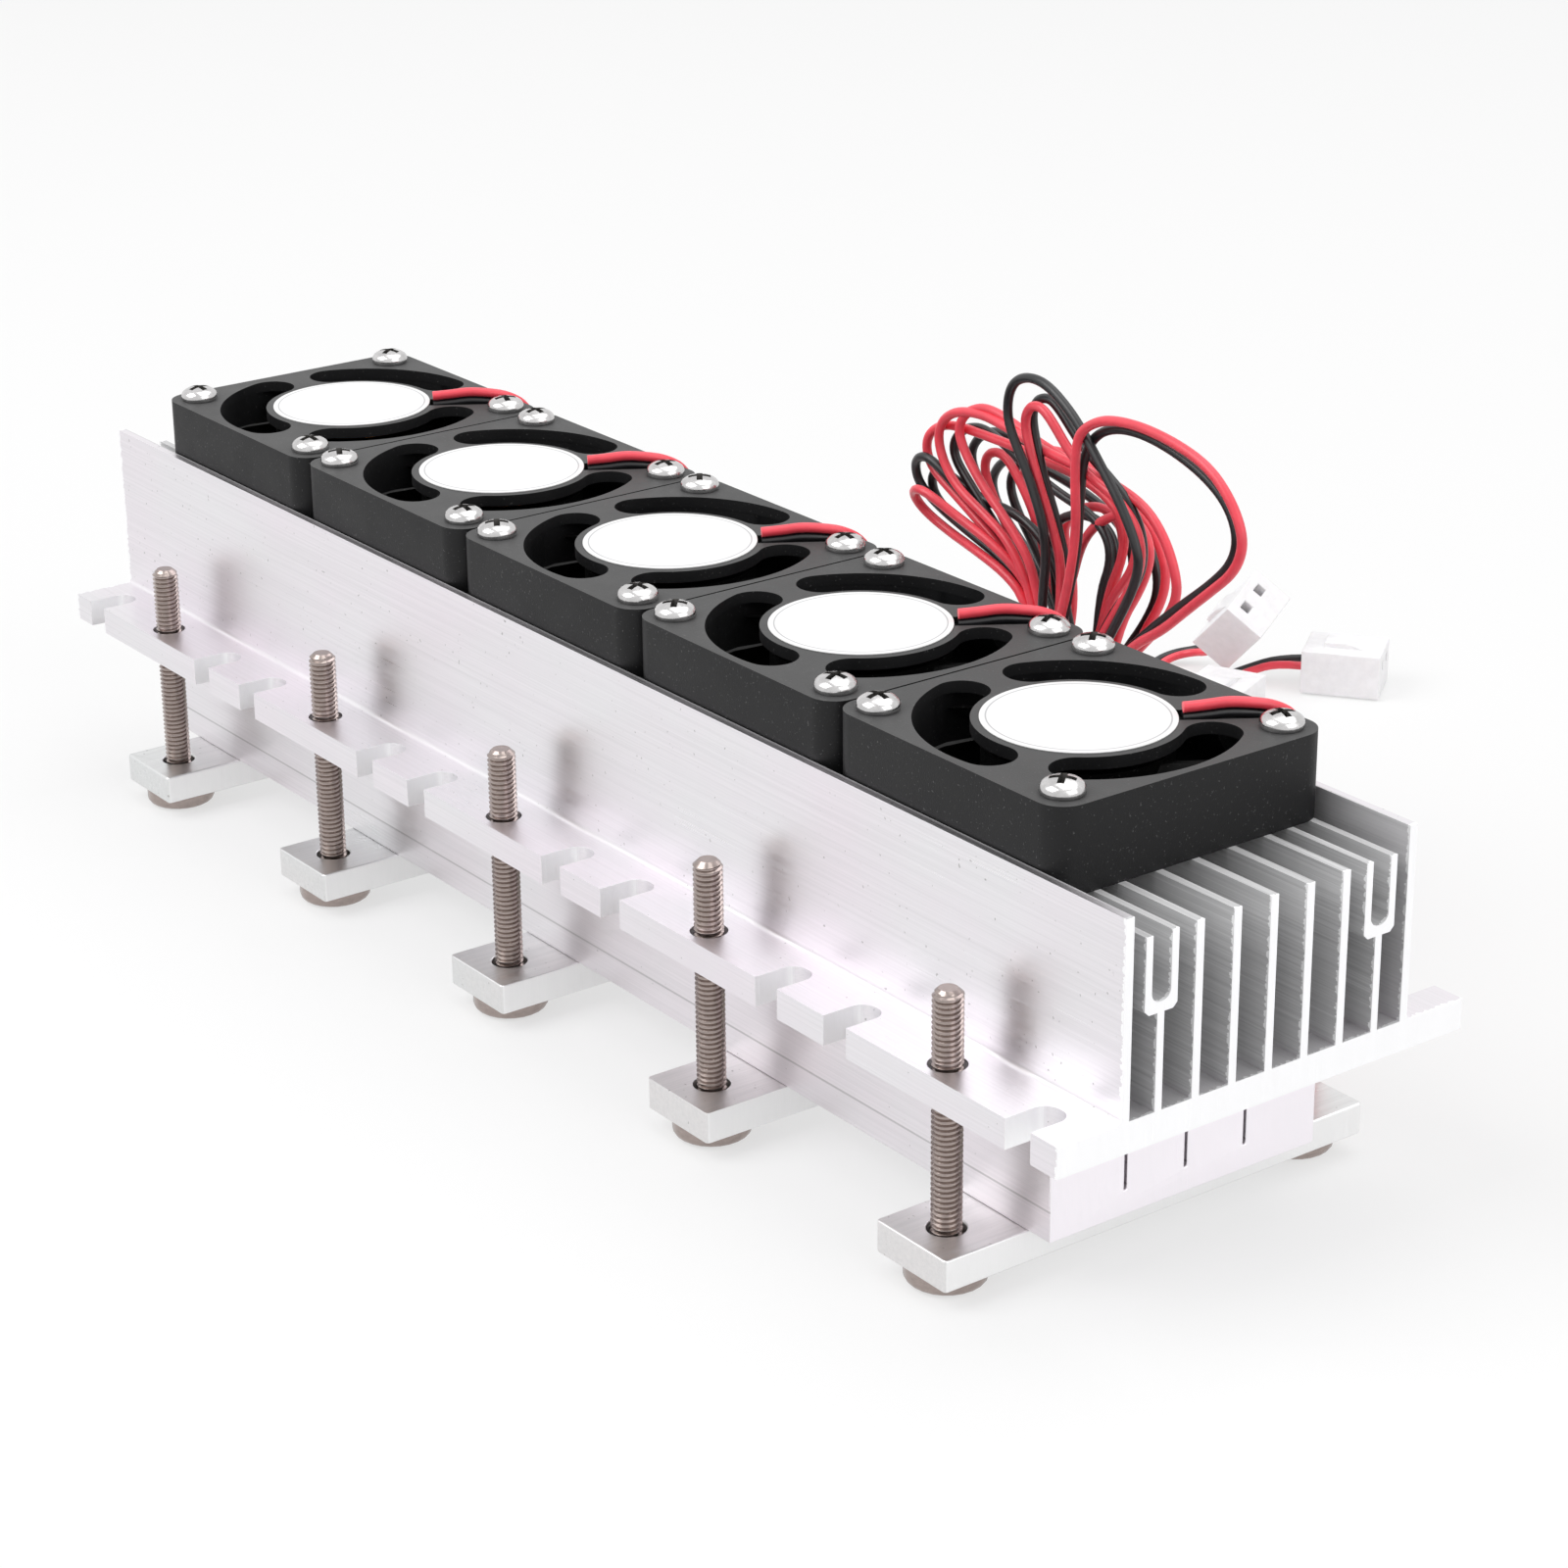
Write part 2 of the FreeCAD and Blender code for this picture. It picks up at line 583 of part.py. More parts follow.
def make_label(number):
    body = new_body("fan_label_%d" % number)
    sketch = new_sketch(body, "XY_Plane")
    draw_circle(sketch, ZERO, ZERO, S["labelWidth"])
    extrude(body, "Pad", sketch, S["labelThick"])
    place(body, x=station(number, FAN_PITCH), z=FAN_TOP)
    nodes.append(body)


def make_fan_screws():
    """Twenty self-tapping screws with domed heads, down through the frames into the forks."""
    body = doc.addObject("PartDesign::Body", "fan_screw_form")
    sketch = new_sketch(body, "XZ_Plane")
    head, shank = S["screwHead"] / 2, S["screwShank"] / 2
    rise = S["screwHeadHeight"] - S["screwHeadEdge"]
    dome = (head * head + rise * rise) / (rise * 2)
    length = S["screwLength"]
    draw_loop(sketch, [(ZERO, -length), (shank, S["screwPoint"] - length), (shank, ZERO), (head, ZERO),
                       (head, S["screwHeadEdge"], dome), (ZERO, S["screwHeadHeight"])])
    revolve(body, sketch)
    screws = []
    for number in range(1, STATIONS + 1):
        for side_x in (-1, 1):
            for side_y in (-1, 1):
                x = station(number, FAN_PITCH) + S["holePitch"] / 2 * side_x
                y = S["holePitch"] / 2 * side_y
                screws.append(body.Shape.translated(V(x.value, y.value, FAN_TOP.value)))
    nodes.append(shaped("fan_screws", Part.makeCompound(screws)))


# Fan leads: red and black cores side by side, drawn as one plain tube

def smooth_path(points):
    """Straight runs joined by tangent arcs, each as large as its two runs allow."""
    edges, radii = [], []
    here = points[0]
    for before, corner, after in zip(points, points[1:], points[2:]):
        back, ahead = (before - corner), (after - corner)
        shorter = min(back.Length, ahead.Length)
        back.normalize()
        ahead.normalize()
        half_turn = (math.pi - back.getAngle(ahead)) / 2
        trim = 0.45 * shorter
        radii.append(trim / math.tan(half_turn))
        start, end = corner + back * trim, corner + ahead * trim
        bisector = (back + ahead).normalize()
        bow = radii[-1] / math.cos(half_turn) - radii[-1]
        edges.append(Part.LineSegment(here, start).toShape())
        edges.append(Part.Arc(start, corner + bisector * bow, end).toShape())
        here = end
    edges.append(Part.LineSegment(here, points[-1]).toShape())
    return Part.Wire(edges), min(radii)


def lead_tube(name, points):
    """A tube along a route of points in the row frame."""
    path, tightest = smooth_path([V(*point) for point in points])
    radius = S["leadWidth"].value / 2
    along = V(*points[1]) - V(*points[0])
    ring = Part.Wire([Part.makeCircle(radius, V(*points[0]), along)])
    solid = path.makePipeShell([ring], True, False)
    expected = math.pi * radius ** 2 * path.Length
    print("%s: length %.1f, tightest radius %.1f, volume ratio %.3f"
          % (name, path.Length, tightest, solid.Volume / expected))
    nodes.append(shaped(name, solid))


# From the hub over the frame's edge and down behind the heatsink, from each fan's middle
OVER_THE_EDGE = [(6.7, 9.6, 58.2), (7.9, 11.7, 58.2), (9.2, 14.0, 58.6), (10.6, 16.2, 58.4),
                 (11.7, 18.6, 57.9), (12.0, 21.3, 56.4), (12.2, 22.0, 53.6), (12.4, 22.9, 50.9),
                 (12.3, 23.5, 47.3), (12.1, 27.4, 42.6), (11.3, 31.2, 37.6), (8.8, 33.4, 29.5),
                 (3.5, 34.2, 21.5)]
# On along the floor to the hank, one route for each lead
TO_THE_HANK = {
    1: [(-76.0, 36.6, 11.0), (-73.0, 38.8, 3.4), (-64.0, 40.6, 1.2), (-53.0, 42.2, 1.2), (-42.0, 44.5, 1.2),
        (-28.0, 43.2, 1.2), (-12.0, 45.6, 1.2), (3.0, 44.2, 1.2), (10.2, 45.6, 1.8), (15.4, 46.2, 3.4)],
    2: [(-36.2, 36.6, 11.0), (-33.2, 38.4, 3.4), (-24.5, 39.6, 1.2), (-14.0, 39.8, 1.2), (-3.0, 38.8, 1.2),
        (8.0, 40.6, 1.2), (15.5, 42.0, 2.4)],
    3: [(7.6, 34.8, 14.0), (13.4, 34.9, 8.0), (18.8, 35.6, 6.0), (21.0, 38.0, 4.5)],
    4: [(44.6, 36.4, 11.5), (46.6, 38.6, 4.4), (43.6, 41.8, 1.3), (36.8, 43.2, 2.6)],
    5: [(82.0, 36.4, 11.5), (78.5, 39.2, 3.6), (70.5, 43.4, 1.2), (58.0, 44.8, 1.2), (45.4, 47.2, 1.4),
        (36.8, 47.8, 3.2)],
}
# From the hank to each lead's connector
TO_THE_PLUG = {
    1: [(21.4, 53.5, 1.9), (20.0, 57.8, 1.2), (14.0, 65.0, 1.2), (5.0, 75.6, 1.2), (-6.0, 87.0, 1.2),
        (-16.5, 99.0, 1.2), (-24.6, 109.6, 1.2), (-29.4, 119.2, 1.2), (-31.0, 126.6, 1.2),
        (-30.3, 131.6, 1.6), (-26.9, 135.4, 3.6), (-23.7, 137.8, 3.6)],
    2: [(17.7, 53.6, 1.9), (15.4, 58.2, 1.2), (9.0, 64.4, 1.2), (-0.5, 73.4, 1.2), (-11.5, 84.4, 1.2),
        (-22.5, 96.2, 1.2), (-31.6, 107.4, 1.2), (-36.4, 116.4, 1.2), (-39.5, 122.3, 1.2),
        (-39.0, 126.7, 1.2), (-35.8, 129.2, 1.3), (-32.6, 128.7, 4.0)],
    3: [(25.0, 53.3, 1.9), (24.6, 58.0, 1.2), (19.6, 66.4, 1.2), (11.2, 77.0, 1.2), (1.6, 87.0, 1.2),
        (-6.4, 95.2, 1.3), (-11.2, 101.0, 2.2), (-14.4, 105.4, 3.6), (-16.0, 109.0, 3.6)],
    4: [(15.4, 49.0, 2.0), (9.2, 51.4, 1.2), (-1.0, 54.2, 1.2), (-12.0, 57.6, 1.8), (-17.8, 60.3, 3.6),
        (-21.9, 62.2, 3.6)],
    5: [(15.2, 51.8, 2.0), (7.9, 56.6, 1.2), (-1.0, 62.2, 1.2), (-8.6, 67.6, 1.9), (-13.7, 71.5, 3.6),
        (-17.1, 74.4, 3.6)],
}
# Each connector: the middle of its wire end, the way it points, and the way its width lies
CONNECTORS = {
    1: ((-23.7, 137.8, 3.6), (0.8, 0.6, 0), (-0.6, 0.8, 0)),
    2: ((-34.4, 130.0, 6.5), (0.732, -0.101, 0.674), (-0.258, 0.874, 0.412)),
    3: ((-16.0, 109.0, 3.6), (-0.399, 0.917, 0), (-0.917, -0.399, 0)),
    4: ((-21.9, 62.2, 3.6), (-0.9, 0.43, 0), (-0.43, -0.9, 0)),
    5: ((-17.1, 74.4, 3.6), (-0.76, 0.65, 0), (-0.65, -0.76, 0)),
}
# The hank's outline seen from behind the fans: X and height
HANK_OUTLINE = [(16, 0.2), (36, 0.2), (37, 10), (31, 23), (31, 29), (34, 38), (44, 48), (58, 57), (60, 66),
                (54, 73), (40, 76.5), (18, 78), (4, 72), (-7, 68), (-12.5, 58), (-11.5, 50), (6, 43),
                (18, 36), (19, 29), (19, 23), (15.5, 10)]


def make_hank():
    """The gathered loops of all five leads: one closed solid of their outer shape."""
    front, thick = S["hankFront"].value, S["hankThick"].value
    outline = Part.makePolygon([V(x, front, z) for x, z in HANK_OUTLINE + HANK_OUTLINE[:1]])
    nodes.append(shaped("lead_hank", Part.Face(outline).extrude(V(0, thick, 0))))


def make_tie():
    """The wire tie round the hank's neck."""
    neck = [x for x, z in HANK_OUTLINE if abs(z - S["tieHeight"].value) < 5]
    gap, thick = S["tieClearance"].value, S["tieThick"].value
    low, high, wide = min(neck) - gap, max(neck) + gap, S["tieWidth"].value
    front, back = S["hankFront"].value - gap, S["hankFront"].value + S["hankThick"].value + gap
    outer = Part.makeBox(high - low + 2 * thick, back - front + 2 * thick, wide,
                         V(low - thick, front - thick, S["tieHeight"].value))
    inner = Part.makeBox(high - low, back - front, wide, V(low, front, S["tieHeight"].value))
    nodes.append(shaped("lead_tie", outer.cut(inner)))


def make_connector(number):
    """A two-way crimp housing, drawn with its wire end at the origin and pointing along X."""
    name = "connector_%d" % number
    body = new_body(name)
    sketch = new_sketch(body, "YZ_Plane")
    wide, high, length = S["connectorWidth"] / 2, S["connectorHeight"] / 2, S["connectorLength"]
    draw_loop(sketch, rectangle(-wide, wide, -high, high))
    extrude(body, "Pad", sketch, length)
    mouth = new_sketch(body, "YZ_Plane", length - S["contactDepth"])
    slot, rise = S["contactWidth"] / 2, S["contactRise"]
    for side in (-1, 1):
        middle = S["contactPitch"] / 2 * side
        draw_loop(mouth, rectangle(middle - slot, middle + slot, rise - slot, rise + slot))
    extrude(body, "Pocket", mouth, S["contactDepth"], reverse=True)
    latch = new_sketch(body, "XZ_Plane")
    draw_loop(latch, [(length / 4, high), (length * 0.75, high), (length / 2, high + S["latchHeight"]),
                      (length / 4, high + S["latchHeight"])])
    extrude(body, "Pad", latch, S["latchWidth"], midplane=True)
    base, along, across = CONNECTORS[number]
    turn = FreeCAD.Rotation(V(*along), V(*across), V(0, 0, 1), "XYZ")
    body.Placement = FreeCAD.Placement(V(*base), turn)
    nodes.append(body)


make_heatsink()
make_cold_block()
for number in range(1, STATIONS + 1):
    make_peltier(number)
    make_clamp_bar(number)
make_clamp_screws()
for number in range(1, STATIONS + 1):
    make_fan_frame(number)
    make_impeller(number)
    make_stator(number)
    make_bearing_sleeve(number)
    make_label(number)
make_fan_screws()
make_hank()
make_tie()
for number in range(1, 6):
    middle = station(number, FAN_PITCH).value
    from_hub = [(middle + x, y, z) for x, y, z in OVER_THE_EDGE]
    lead_tube("lead_%d" % number, from_hub + TO_THE_HANK[number])
    lead_tube("lead_tail_%d" % number, TO_THE_PLUG[number])
    make_connector(number)


# Check everything, then write each sub-part

doc.recompute()
for thing in doc.Objects:
    if "Invalid" in thing.State or "Error" in thing.State:
        raise RuntimeError("%s has failed: %s" % (thing.Name, thing.State))
for node in nodes:
    if node.Shape.isNull() or not node.Shape.isValid():
        raise RuntimeError("%s has no valid shape" % node.Label)
    node.Shape.exportStep("parts/%s.step" % node.Label)
    print("%s: %d solid(s), %.1f mm3" % (node.Label, len(node.Shape.Solids), node.Shape.Volume))
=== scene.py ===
import bpy, bmesh, math, random
from mathutils import Matrix, Vector


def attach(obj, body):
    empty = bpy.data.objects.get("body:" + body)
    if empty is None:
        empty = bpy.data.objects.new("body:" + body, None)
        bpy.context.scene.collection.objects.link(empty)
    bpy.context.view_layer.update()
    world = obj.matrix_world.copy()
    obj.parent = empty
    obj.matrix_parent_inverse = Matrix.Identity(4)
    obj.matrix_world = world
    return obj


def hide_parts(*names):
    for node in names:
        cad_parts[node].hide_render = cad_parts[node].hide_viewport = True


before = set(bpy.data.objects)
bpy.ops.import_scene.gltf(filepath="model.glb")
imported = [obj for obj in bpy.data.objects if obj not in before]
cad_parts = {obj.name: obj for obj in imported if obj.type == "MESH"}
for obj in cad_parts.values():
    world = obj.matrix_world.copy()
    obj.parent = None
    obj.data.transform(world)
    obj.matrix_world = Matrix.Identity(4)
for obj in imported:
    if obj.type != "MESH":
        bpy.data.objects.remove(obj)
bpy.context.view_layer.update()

random.seed(11)
scene = bpy.context.scene
scene.view_settings.view_transform = "Standard"
stations = range(1, 6)
fanPitch = 0.04
up = Vector((0, 0, 1))
# how near two points are taken as one
closer = {"cad": 0.000002, "turned": 0.000001, "thread": 0.000004, "cut": 0.0000005}


# camera
print("camera and stage")
view = {
    "place": (0.378203, -0.260305, 0.209078),
    "right": (0.59526, 0.80348, -0.009228),
    "up": (-0.295139, 0.229307, 0.92753),
    "ahead": (-0.747368, 0.549398, -0.373635),
    "lens": 86.46,
}
cameraData = bpy.data.cameras.new("photoCamera")
cameraData.lens = view["lens"]
cameraData.sensor_width = 36
cameraData.clip_start = 0.01
camera = bpy.data.objects.new("photoCamera", cameraData)
axes = [Vector(view["right"]), Vector(view["up"]), -Vector(view["ahead"])]
camera.matrix_world = Matrix.Translation(view["place"]) @ Matrix(axes).transposed().to_4x4()
scene.collection.objects.link(camera)
scene.camera = camera


# materials: small helpers
def newMaterial(name, colour, roughness, metallic=0.0):
    made = bpy.data.materials.new(name)
    made.use_nodes = True
    shader = made.node_tree.nodes["Principled BSDF"]
    shader.inputs["Base Color"].default_value = (*colour, 1)
    shader.inputs["Roughness"].default_value = roughness
    shader.inputs["Metallic"].default_value = metallic
    return made


def addNode(made, kind, settings=None, **sockets):
    node = made.node_tree.nodes.new("ShaderNode" + kind)
    for key, value in (settings or {}).items():
        setattr(node, key, value)
    for key, value in sockets.items():
        node.inputs[key].default_value = value
    return node


def join(made, output, target):
    made.node_tree.links.new(output, target)


def shaderOf(made):
    return made.node_tree.nodes["Principled BSDF"]


# object coordinates, stretched and turned for one pattern
def placed(made, scale, turn=(0, 0, 0)):
    spot = addNode(made, "TexCoord")
    mapping = addNode(made, "Mapping", Scale=scale, Rotation=turn)
    join(made, spot.outputs["Object"], mapping.inputs["Vector"])
    return mapping.outputs["Vector"]


def grain(made, scale, turn=(0, 0, 0), detail=3.0, roughness=0.6):
    noise = addNode(made, "TexNoise", Scale=1.0, Detail=detail, Roughness=roughness)
    join(made, placed(made, scale, turn), noise.inputs["Vector"])
    return noise.outputs["Fac"]


# maps a range of values to another one
def spread(made, value, low, high, outLow=0.0, outHigh=1.0):
    node = addNode(made, "MapRange")
    for key, number in (("From Min", low), ("From Max", high), ("To Min", outLow), ("To Max", outHigh)):
        node.inputs[key].default_value = number
    join(made, value, node.inputs["Value"])
    return node.outputs["Result"]


def combine(made, operation, first, second):
    node = addNode(made, "Math", {"operation": operation})
    for slot, value in enumerate((first, second)):
        if isinstance(value, float):
            node.inputs[slot].default_value = value
        else:
            join(made, value, node.inputs[slot])
    return node.outputs[0]


def blendValues(made, factor, first, second):
    node = addNode(made, "Mix")
    for slot, value in ((0, factor), (2, first), (3, second)):
        join(made, value, node.inputs[slot])
    return node.outputs[0]


def blendColours(made, factor, first, second):
    node = addNode(made, "Mix", {"data_type": "RGBA"})
    join(made, factor, node.inputs["Factor"])
    for slot, value in ((6, first), (7, second)):
        if isinstance(value, tuple):
            node.inputs[slot].default_value = (*value, 1)
        else:
            join(made, value, node.inputs[slot])
    return node.outputs[2]


def relief(made, height, depth, strength):
    node = addNode(made, "Bump", Strength=strength, Distance=depth)
    join(made, height, node.inputs["Height"])
    return node.outputs["Normal"]


# the three parts of a place or of a direction
def partsOf(made, kind, output):
    parts = addNode(made, "SeparateXYZ")
    join(made, addNode(made, kind).outputs[output], parts.inputs[0])
    return parts.outputs


# one where the camera looks, straight or by way of a mirror or a glass
def lookedAt(made):
    paths = addNode(made, "LightPath").outputs
    looked = combine(made, "ADD", paths["Is Camera Ray"], paths["Is Glossy Ray"])
    return combine(made, "ADD", looked, paths["Is Transmission Ray"])


# stage: pale floor, white surround, soft lamps
def makeStage():
    stage = {"size": 6.0, "level": -0.0002, "floorWhite": 0.82, "glow": 0.62, "ambient": 0.5}
    world = bpy.data.worlds.new("studio")
    world.use_nodes = True
    scene.world = world
    background = world.node_tree.nodes["Background"]
    background.inputs["Color"].default_value = (1, 1, 1, 1)
    strength = spread(world, lookedAt(world), 0.0, 1.0, stage["ambient"], 1.0)
    join(world, strength, background.inputs["Strength"])

    shape = bmesh.new()
    bmesh.ops.create_grid(shape, x_segments=1, y_segments=1, size=stage["size"])
    bmesh.ops.translate(shape, verts=shape.verts, vec=(0, 0, stage["level"]))
    mesh = bpy.data.meshes.new("studioFloor")
    shape.to_mesh(mesh)
    shape.free()
    floor = bpy.data.objects.new("studioFloor", mesh)
    scene.collection.objects.link(floor)
    made = newMaterial("paleFloor", (stage["floorWhite"],) * 3, 0.9)
    shaderOf(made).inputs["Specular IOR Level"].default_value = 0.0
    glow = addNode(made, "Emission", Strength=1.0)
    mixed = addNode(made, "MixShader")
    join(made, combine(made, "MULTIPLY", lookedAt(made), stage["glow"]), mixed.inputs[0])
    join(made, shaderOf(made).outputs[0], mixed.inputs[1])
    join(made, glow.outputs[0], mixed.inputs[2])
    join(made, mixed.outputs[0], made.node_tree.nodes["Material Output"].inputs["Surface"])
    mesh.materials.append(made)


def makeLamps():
    lamps = {
        "keyLamp": {"place": (-0.35, -0.95, 1.15), "size": 1.1, "power": 13.0},
        "fillLamp": {"place": (1.3, 0.25, 0.75), "size": 1.2, "power": 6.0},
        "topLamp": {"place": (0.1, 0.5, 1.5), "size": 1.4, "power": 9.0},
    }
    aim = Vector((0, 0.01, 0.03))
    for name, values in lamps.items():
        data = bpy.data.lights.new(name, "AREA")
        data.shape = "SQUARE"
        data.size = values["size"]
        data.energy = values["power"]
        lamp = bpy.data.objects.new(name, data)
        lamp.location = values["place"]
        lamp.rotation_euler = (aim - Vector(values["place"])).to_track_quat("-Z", "Y").to_euler()
        scene.collection.objects.link(lamp)


makeStage()
makeLamps()


# finishes
# drawn aluminium: fine lines along X, a sawn look on the faces across it, and a painted shade between the
# ribs: a duller, less metallic grey there
def makeAluminium(name, colour, tint, cut, lines=(20, 3200, 3200), cutTurn=0.3, scribe=None,
                  channels=False):
    form = {"wallOut": 0.0204, "wallIn": 0.0199, "baseLow": 0.0255, "baseHigh": 0.0275, "end": 0.1124,
            "endFade": 0.00005, "burr": 0.00042, "scribeIn": 0.00007, "scribeOut": 0.00019,
            "darker": 0.72, "channelShadeMatte": 0.72, "relief": 0.00002}
    made = newMaterial(name, colour, 0.3, 1.0)
    shader = shaderOf(made)
    fine = grain(made, lines, detail=4.0, roughness=0.7)
    coarse = grain(made, (7, 420, 420), detail=2.0)
    patches = grain(made, (28, 40, 40), detail=3.0)
    pits = spread(made, grain(made, (2100, 2100, 2100), detail=0.0), 0.18, 0.12)
    sawn = grain(made, (900, 5200, 160), turn=(cutTurn, 0, 0), detail=3.0, roughness=0.75)
    facing = partsOf(made, "NewGeometry", "True Normal")
    isCut = spread(made, combine(made, "ABSOLUTE", facing["X"], 0.0), 0.75, 0.9)
    spot = partsOf(made, "TexCoord", "Object")
    tone = blendColours(made, spread(made, patches, 0.35, 0.65), colour, tint)
    darker = tuple(form["darker"] * c for c in colour)
    tone = blendColours(made, spread(made, fine, 0.3, 0.75, 0.0, 0.35), tone, darker)
    tone = blendColours(made, combine(made, "MULTIPLY", pits, 0.6), tone, (0.3, 0.29, 0.28))
    if scribe is not None:    # a fine line along the side at this height
        distance = combine(made, "ABSOLUTE", combine(made, "SUBTRACT", spot["Z"], scribe), 0.0)
        line = spread(made, distance, form["scribeIn"], form["scribeOut"], 1.0, 0.0)
        tone = blendColours(made, combine(made, "MULTIPLY", line, 0.5), tone, (0.3, 0.29, 0.29))
    rough = spread(made, combine(made, "ADD", fine, patches), 0.7, 1.3, 0.26, 0.48)
    if channels:
        # painted shade: the faces between the ribs get a duller, darker, less metallic grey in place of the
        # shade that falls there
        across = combine(made, "ABSOLUTE", spot["Y"], 0.0)
        inside = combine(made, "MULTIPLY", spread(made, across, form["wallOut"], form["wallIn"]),
                         spread(made, spot["Z"], form["baseLow"], form["baseHigh"]))
        inside = combine(made, "MULTIPLY", inside, combine(made, "SUBTRACT", 1.0, isCut))
        brushed = spread(made, fine, 0.3, 0.7, 0.2, 0.95)
        pale = blendColours(made, brushed, (0.42, 0.42, 0.425), (0.7, 0.7, 0.705))
        tone = blendColours(made, inside, tone, pale)
        metal = combine(made, "SUBTRACT", 1.0, combine(made, "MULTIPLY", inside, form["channelShadeMatte"]))
        join(made, metal, shader.inputs["Metallic"])
        rough = combine(made, "ADD", rough, combine(made, "MULTIPLY", inside, 0.2))
        burr = spread(made, grain(made, (300, 1500, 1500), detail=2.0), 0.4, 0.62, 0.0, form["burr"])
        reach = combine(made, "ADD", combine(made, "ABSOLUTE", spot["X"], 0.0), burr)
        ragged = spread(made, reach, form["end"], form["end"] + form["endFade"])
        tone = blendColours(made, ragged, tone, cut)
    tone = blendColours(made, isCut, tone, cut)
    join(made, tone, shader.inputs["Base Color"])
    cutRough = spread(made, sawn, 0.3, 0.7, 0.34, 0.62)
    join(made, blendValues(made, isCut, rough, cutRough), shader.inputs["Roughness"])
    drawnHeight = combine(made, "ADD", fine, coarse)
    height = blendValues(made, isCut, drawnHeight, combine(made, "MULTIPLY", sawn, 3.0))
    join(made, relief(made, height, form["relief"], 0.6), shader.inputs["Normal"])
    return made


# plated or darker metal, and the painted shade in the screws' recesses, its marks stretched by scale
def makeSteel(name, colour, roughness, scale, depth):
    made = newMaterial(name, colour, roughness, 1.0)
    shader = shaderOf(made)
    marks = grain(made, scale, detail=4.0)
    tone = blendColours(made, spread(made, marks, 0.3, 0.7), tuple(0.8 * c for c in colour), colour)
    join(made, tone, shader.inputs["Base Color"])
    join(made, spread(made, marks, 0.3, 0.7, roughness * 0.7, roughness * 1.4), shader.inputs["Roughness"])
    join(made, relief(made, marks, depth, 0.5), shader.inputs["Normal"])
    return made


# moulded plastic with a fine grain, dust specks, and a painted sheen that greys the top plate
def makeBlackPlastic(name, colour, roughness, gloss, paintedTopSheen=0.0):
    plate = {"grain": 0.00022, "low": 0.0572, "high": 0.0577}
    made = newMaterial(name, colour, roughness)
    shader = shaderOf(made)
    shader.inputs["Specular IOR Level"].default_value = gloss
    mould = grain(made, (1 / plate["grain"],) * 3, detail=2.0)
    cloud = grain(made, (90,) * 3, detail=4.0)
    dust = spread(made, grain(made, (3000,) * 3, detail=1.0), 0.68, 0.78)
    tone = blendColours(made, spread(made, cloud, 0.3, 0.7), colour, tuple(1.45 * c for c in colour))
    # painted light: faces looking up on the top plate are greyed as a sheen from the lamps above
    if paintedTopSheen:
        top = spread(made, partsOf(made, "NewGeometry", "Normal")["Z"], 0.5, 0.95, 0.0, paintedTopSheen)
        height = partsOf(made, "TexCoord", "Object")["Z"]
        top = combine(made, "MULTIPLY", top, spread(made, height, plate["low"], plate["high"]))
        tone = blendColours(made, top, tone, (0.16, 0.16, 0.16))
    tone = blendColours(made, combine(made, "MULTIPLY", dust, 0.3), tone, (0.2, 0.2, 0.2))
    join(made, tone, shader.inputs["Base Color"])
    dull = spread(made, cloud, 0.3, 0.7, roughness - 0.05, roughness + 0.08)
    join(made, dull, shader.inputs["Roughness"])
    join(made, relief(made, mould, 0.00004, 0.5), shader.inputs["Normal"])
    return made


# soft insulation of the leads, a little waxy
def makeInsulation(name, colour):
    made = newMaterial(name, colour, 0.34)
    shader = shaderOf(made)
    shader.inputs["Coat Weight"].default_value = 0.12
    shader.inputs["Coat Roughness"].default_value = 0.25
    wave = grain(made, (260,) * 3, detail=3.0)
    tone = blendColours(made, spread(made, wave, 0.3, 0.7), tuple(0.82 * c for c in colour), colour)
    join(made, tone, shader.inputs["Base Color"])
    join(made, spread(made, wave, 0.3, 0.7, 0.28, 0.42), shader.inputs["Roughness"])
    join(made, relief(made, wave, 0.00008, 0.35), shader.inputs["Normal"])
    return made


def makeNylon(name, colour):
    made = newMaterial(name, colour, 0.38)
    shader = shaderOf(made)
    shader.inputs["Subsurface Weight"].default_value = 0.35
    shader.inputs["Subsurface Radius"].default_value = (0.0012, 0.0012, 0.0011)
    shader.inputs["Subsurface Scale"].default_value = 1.0
    wave = grain(made, (700,) * 3, detail=3.0)
    tone = blendColours(made, spread(made, wave, 0.3, 0.7), tuple(0.93 * c for c in colour), colour)
    join(made, tone, shader.inputs["Base Color"])
    join(made, relief(made, wave, 0.00004, 0.3), shader.inputs["Normal"])
    return made


# smooth pale skin of labels and of fired plates
def makeFilm(name, colour):
    made = newMaterial(name, colour, 0.36)
    shader = shaderOf(made)
    shader.inputs["Coat Weight"].default_value = 0.2
    shader.inputs["Coat Roughness"].default_value = 0.2
    fibre = grain(made, (2200,) * 3, detail=3.0)
    cloud = grain(made, (120,) * 3, detail=2.0)
    tone = blendColours(made, spread(made, cloud, 0.3, 0.7), tuple(0.95 * c for c in colour), colour)
    join(made, tone, shader.inputs["Base Color"])
    join(made, relief(made, fibre, 0.00003, 0.3), shader.inputs["Normal"])
    return made


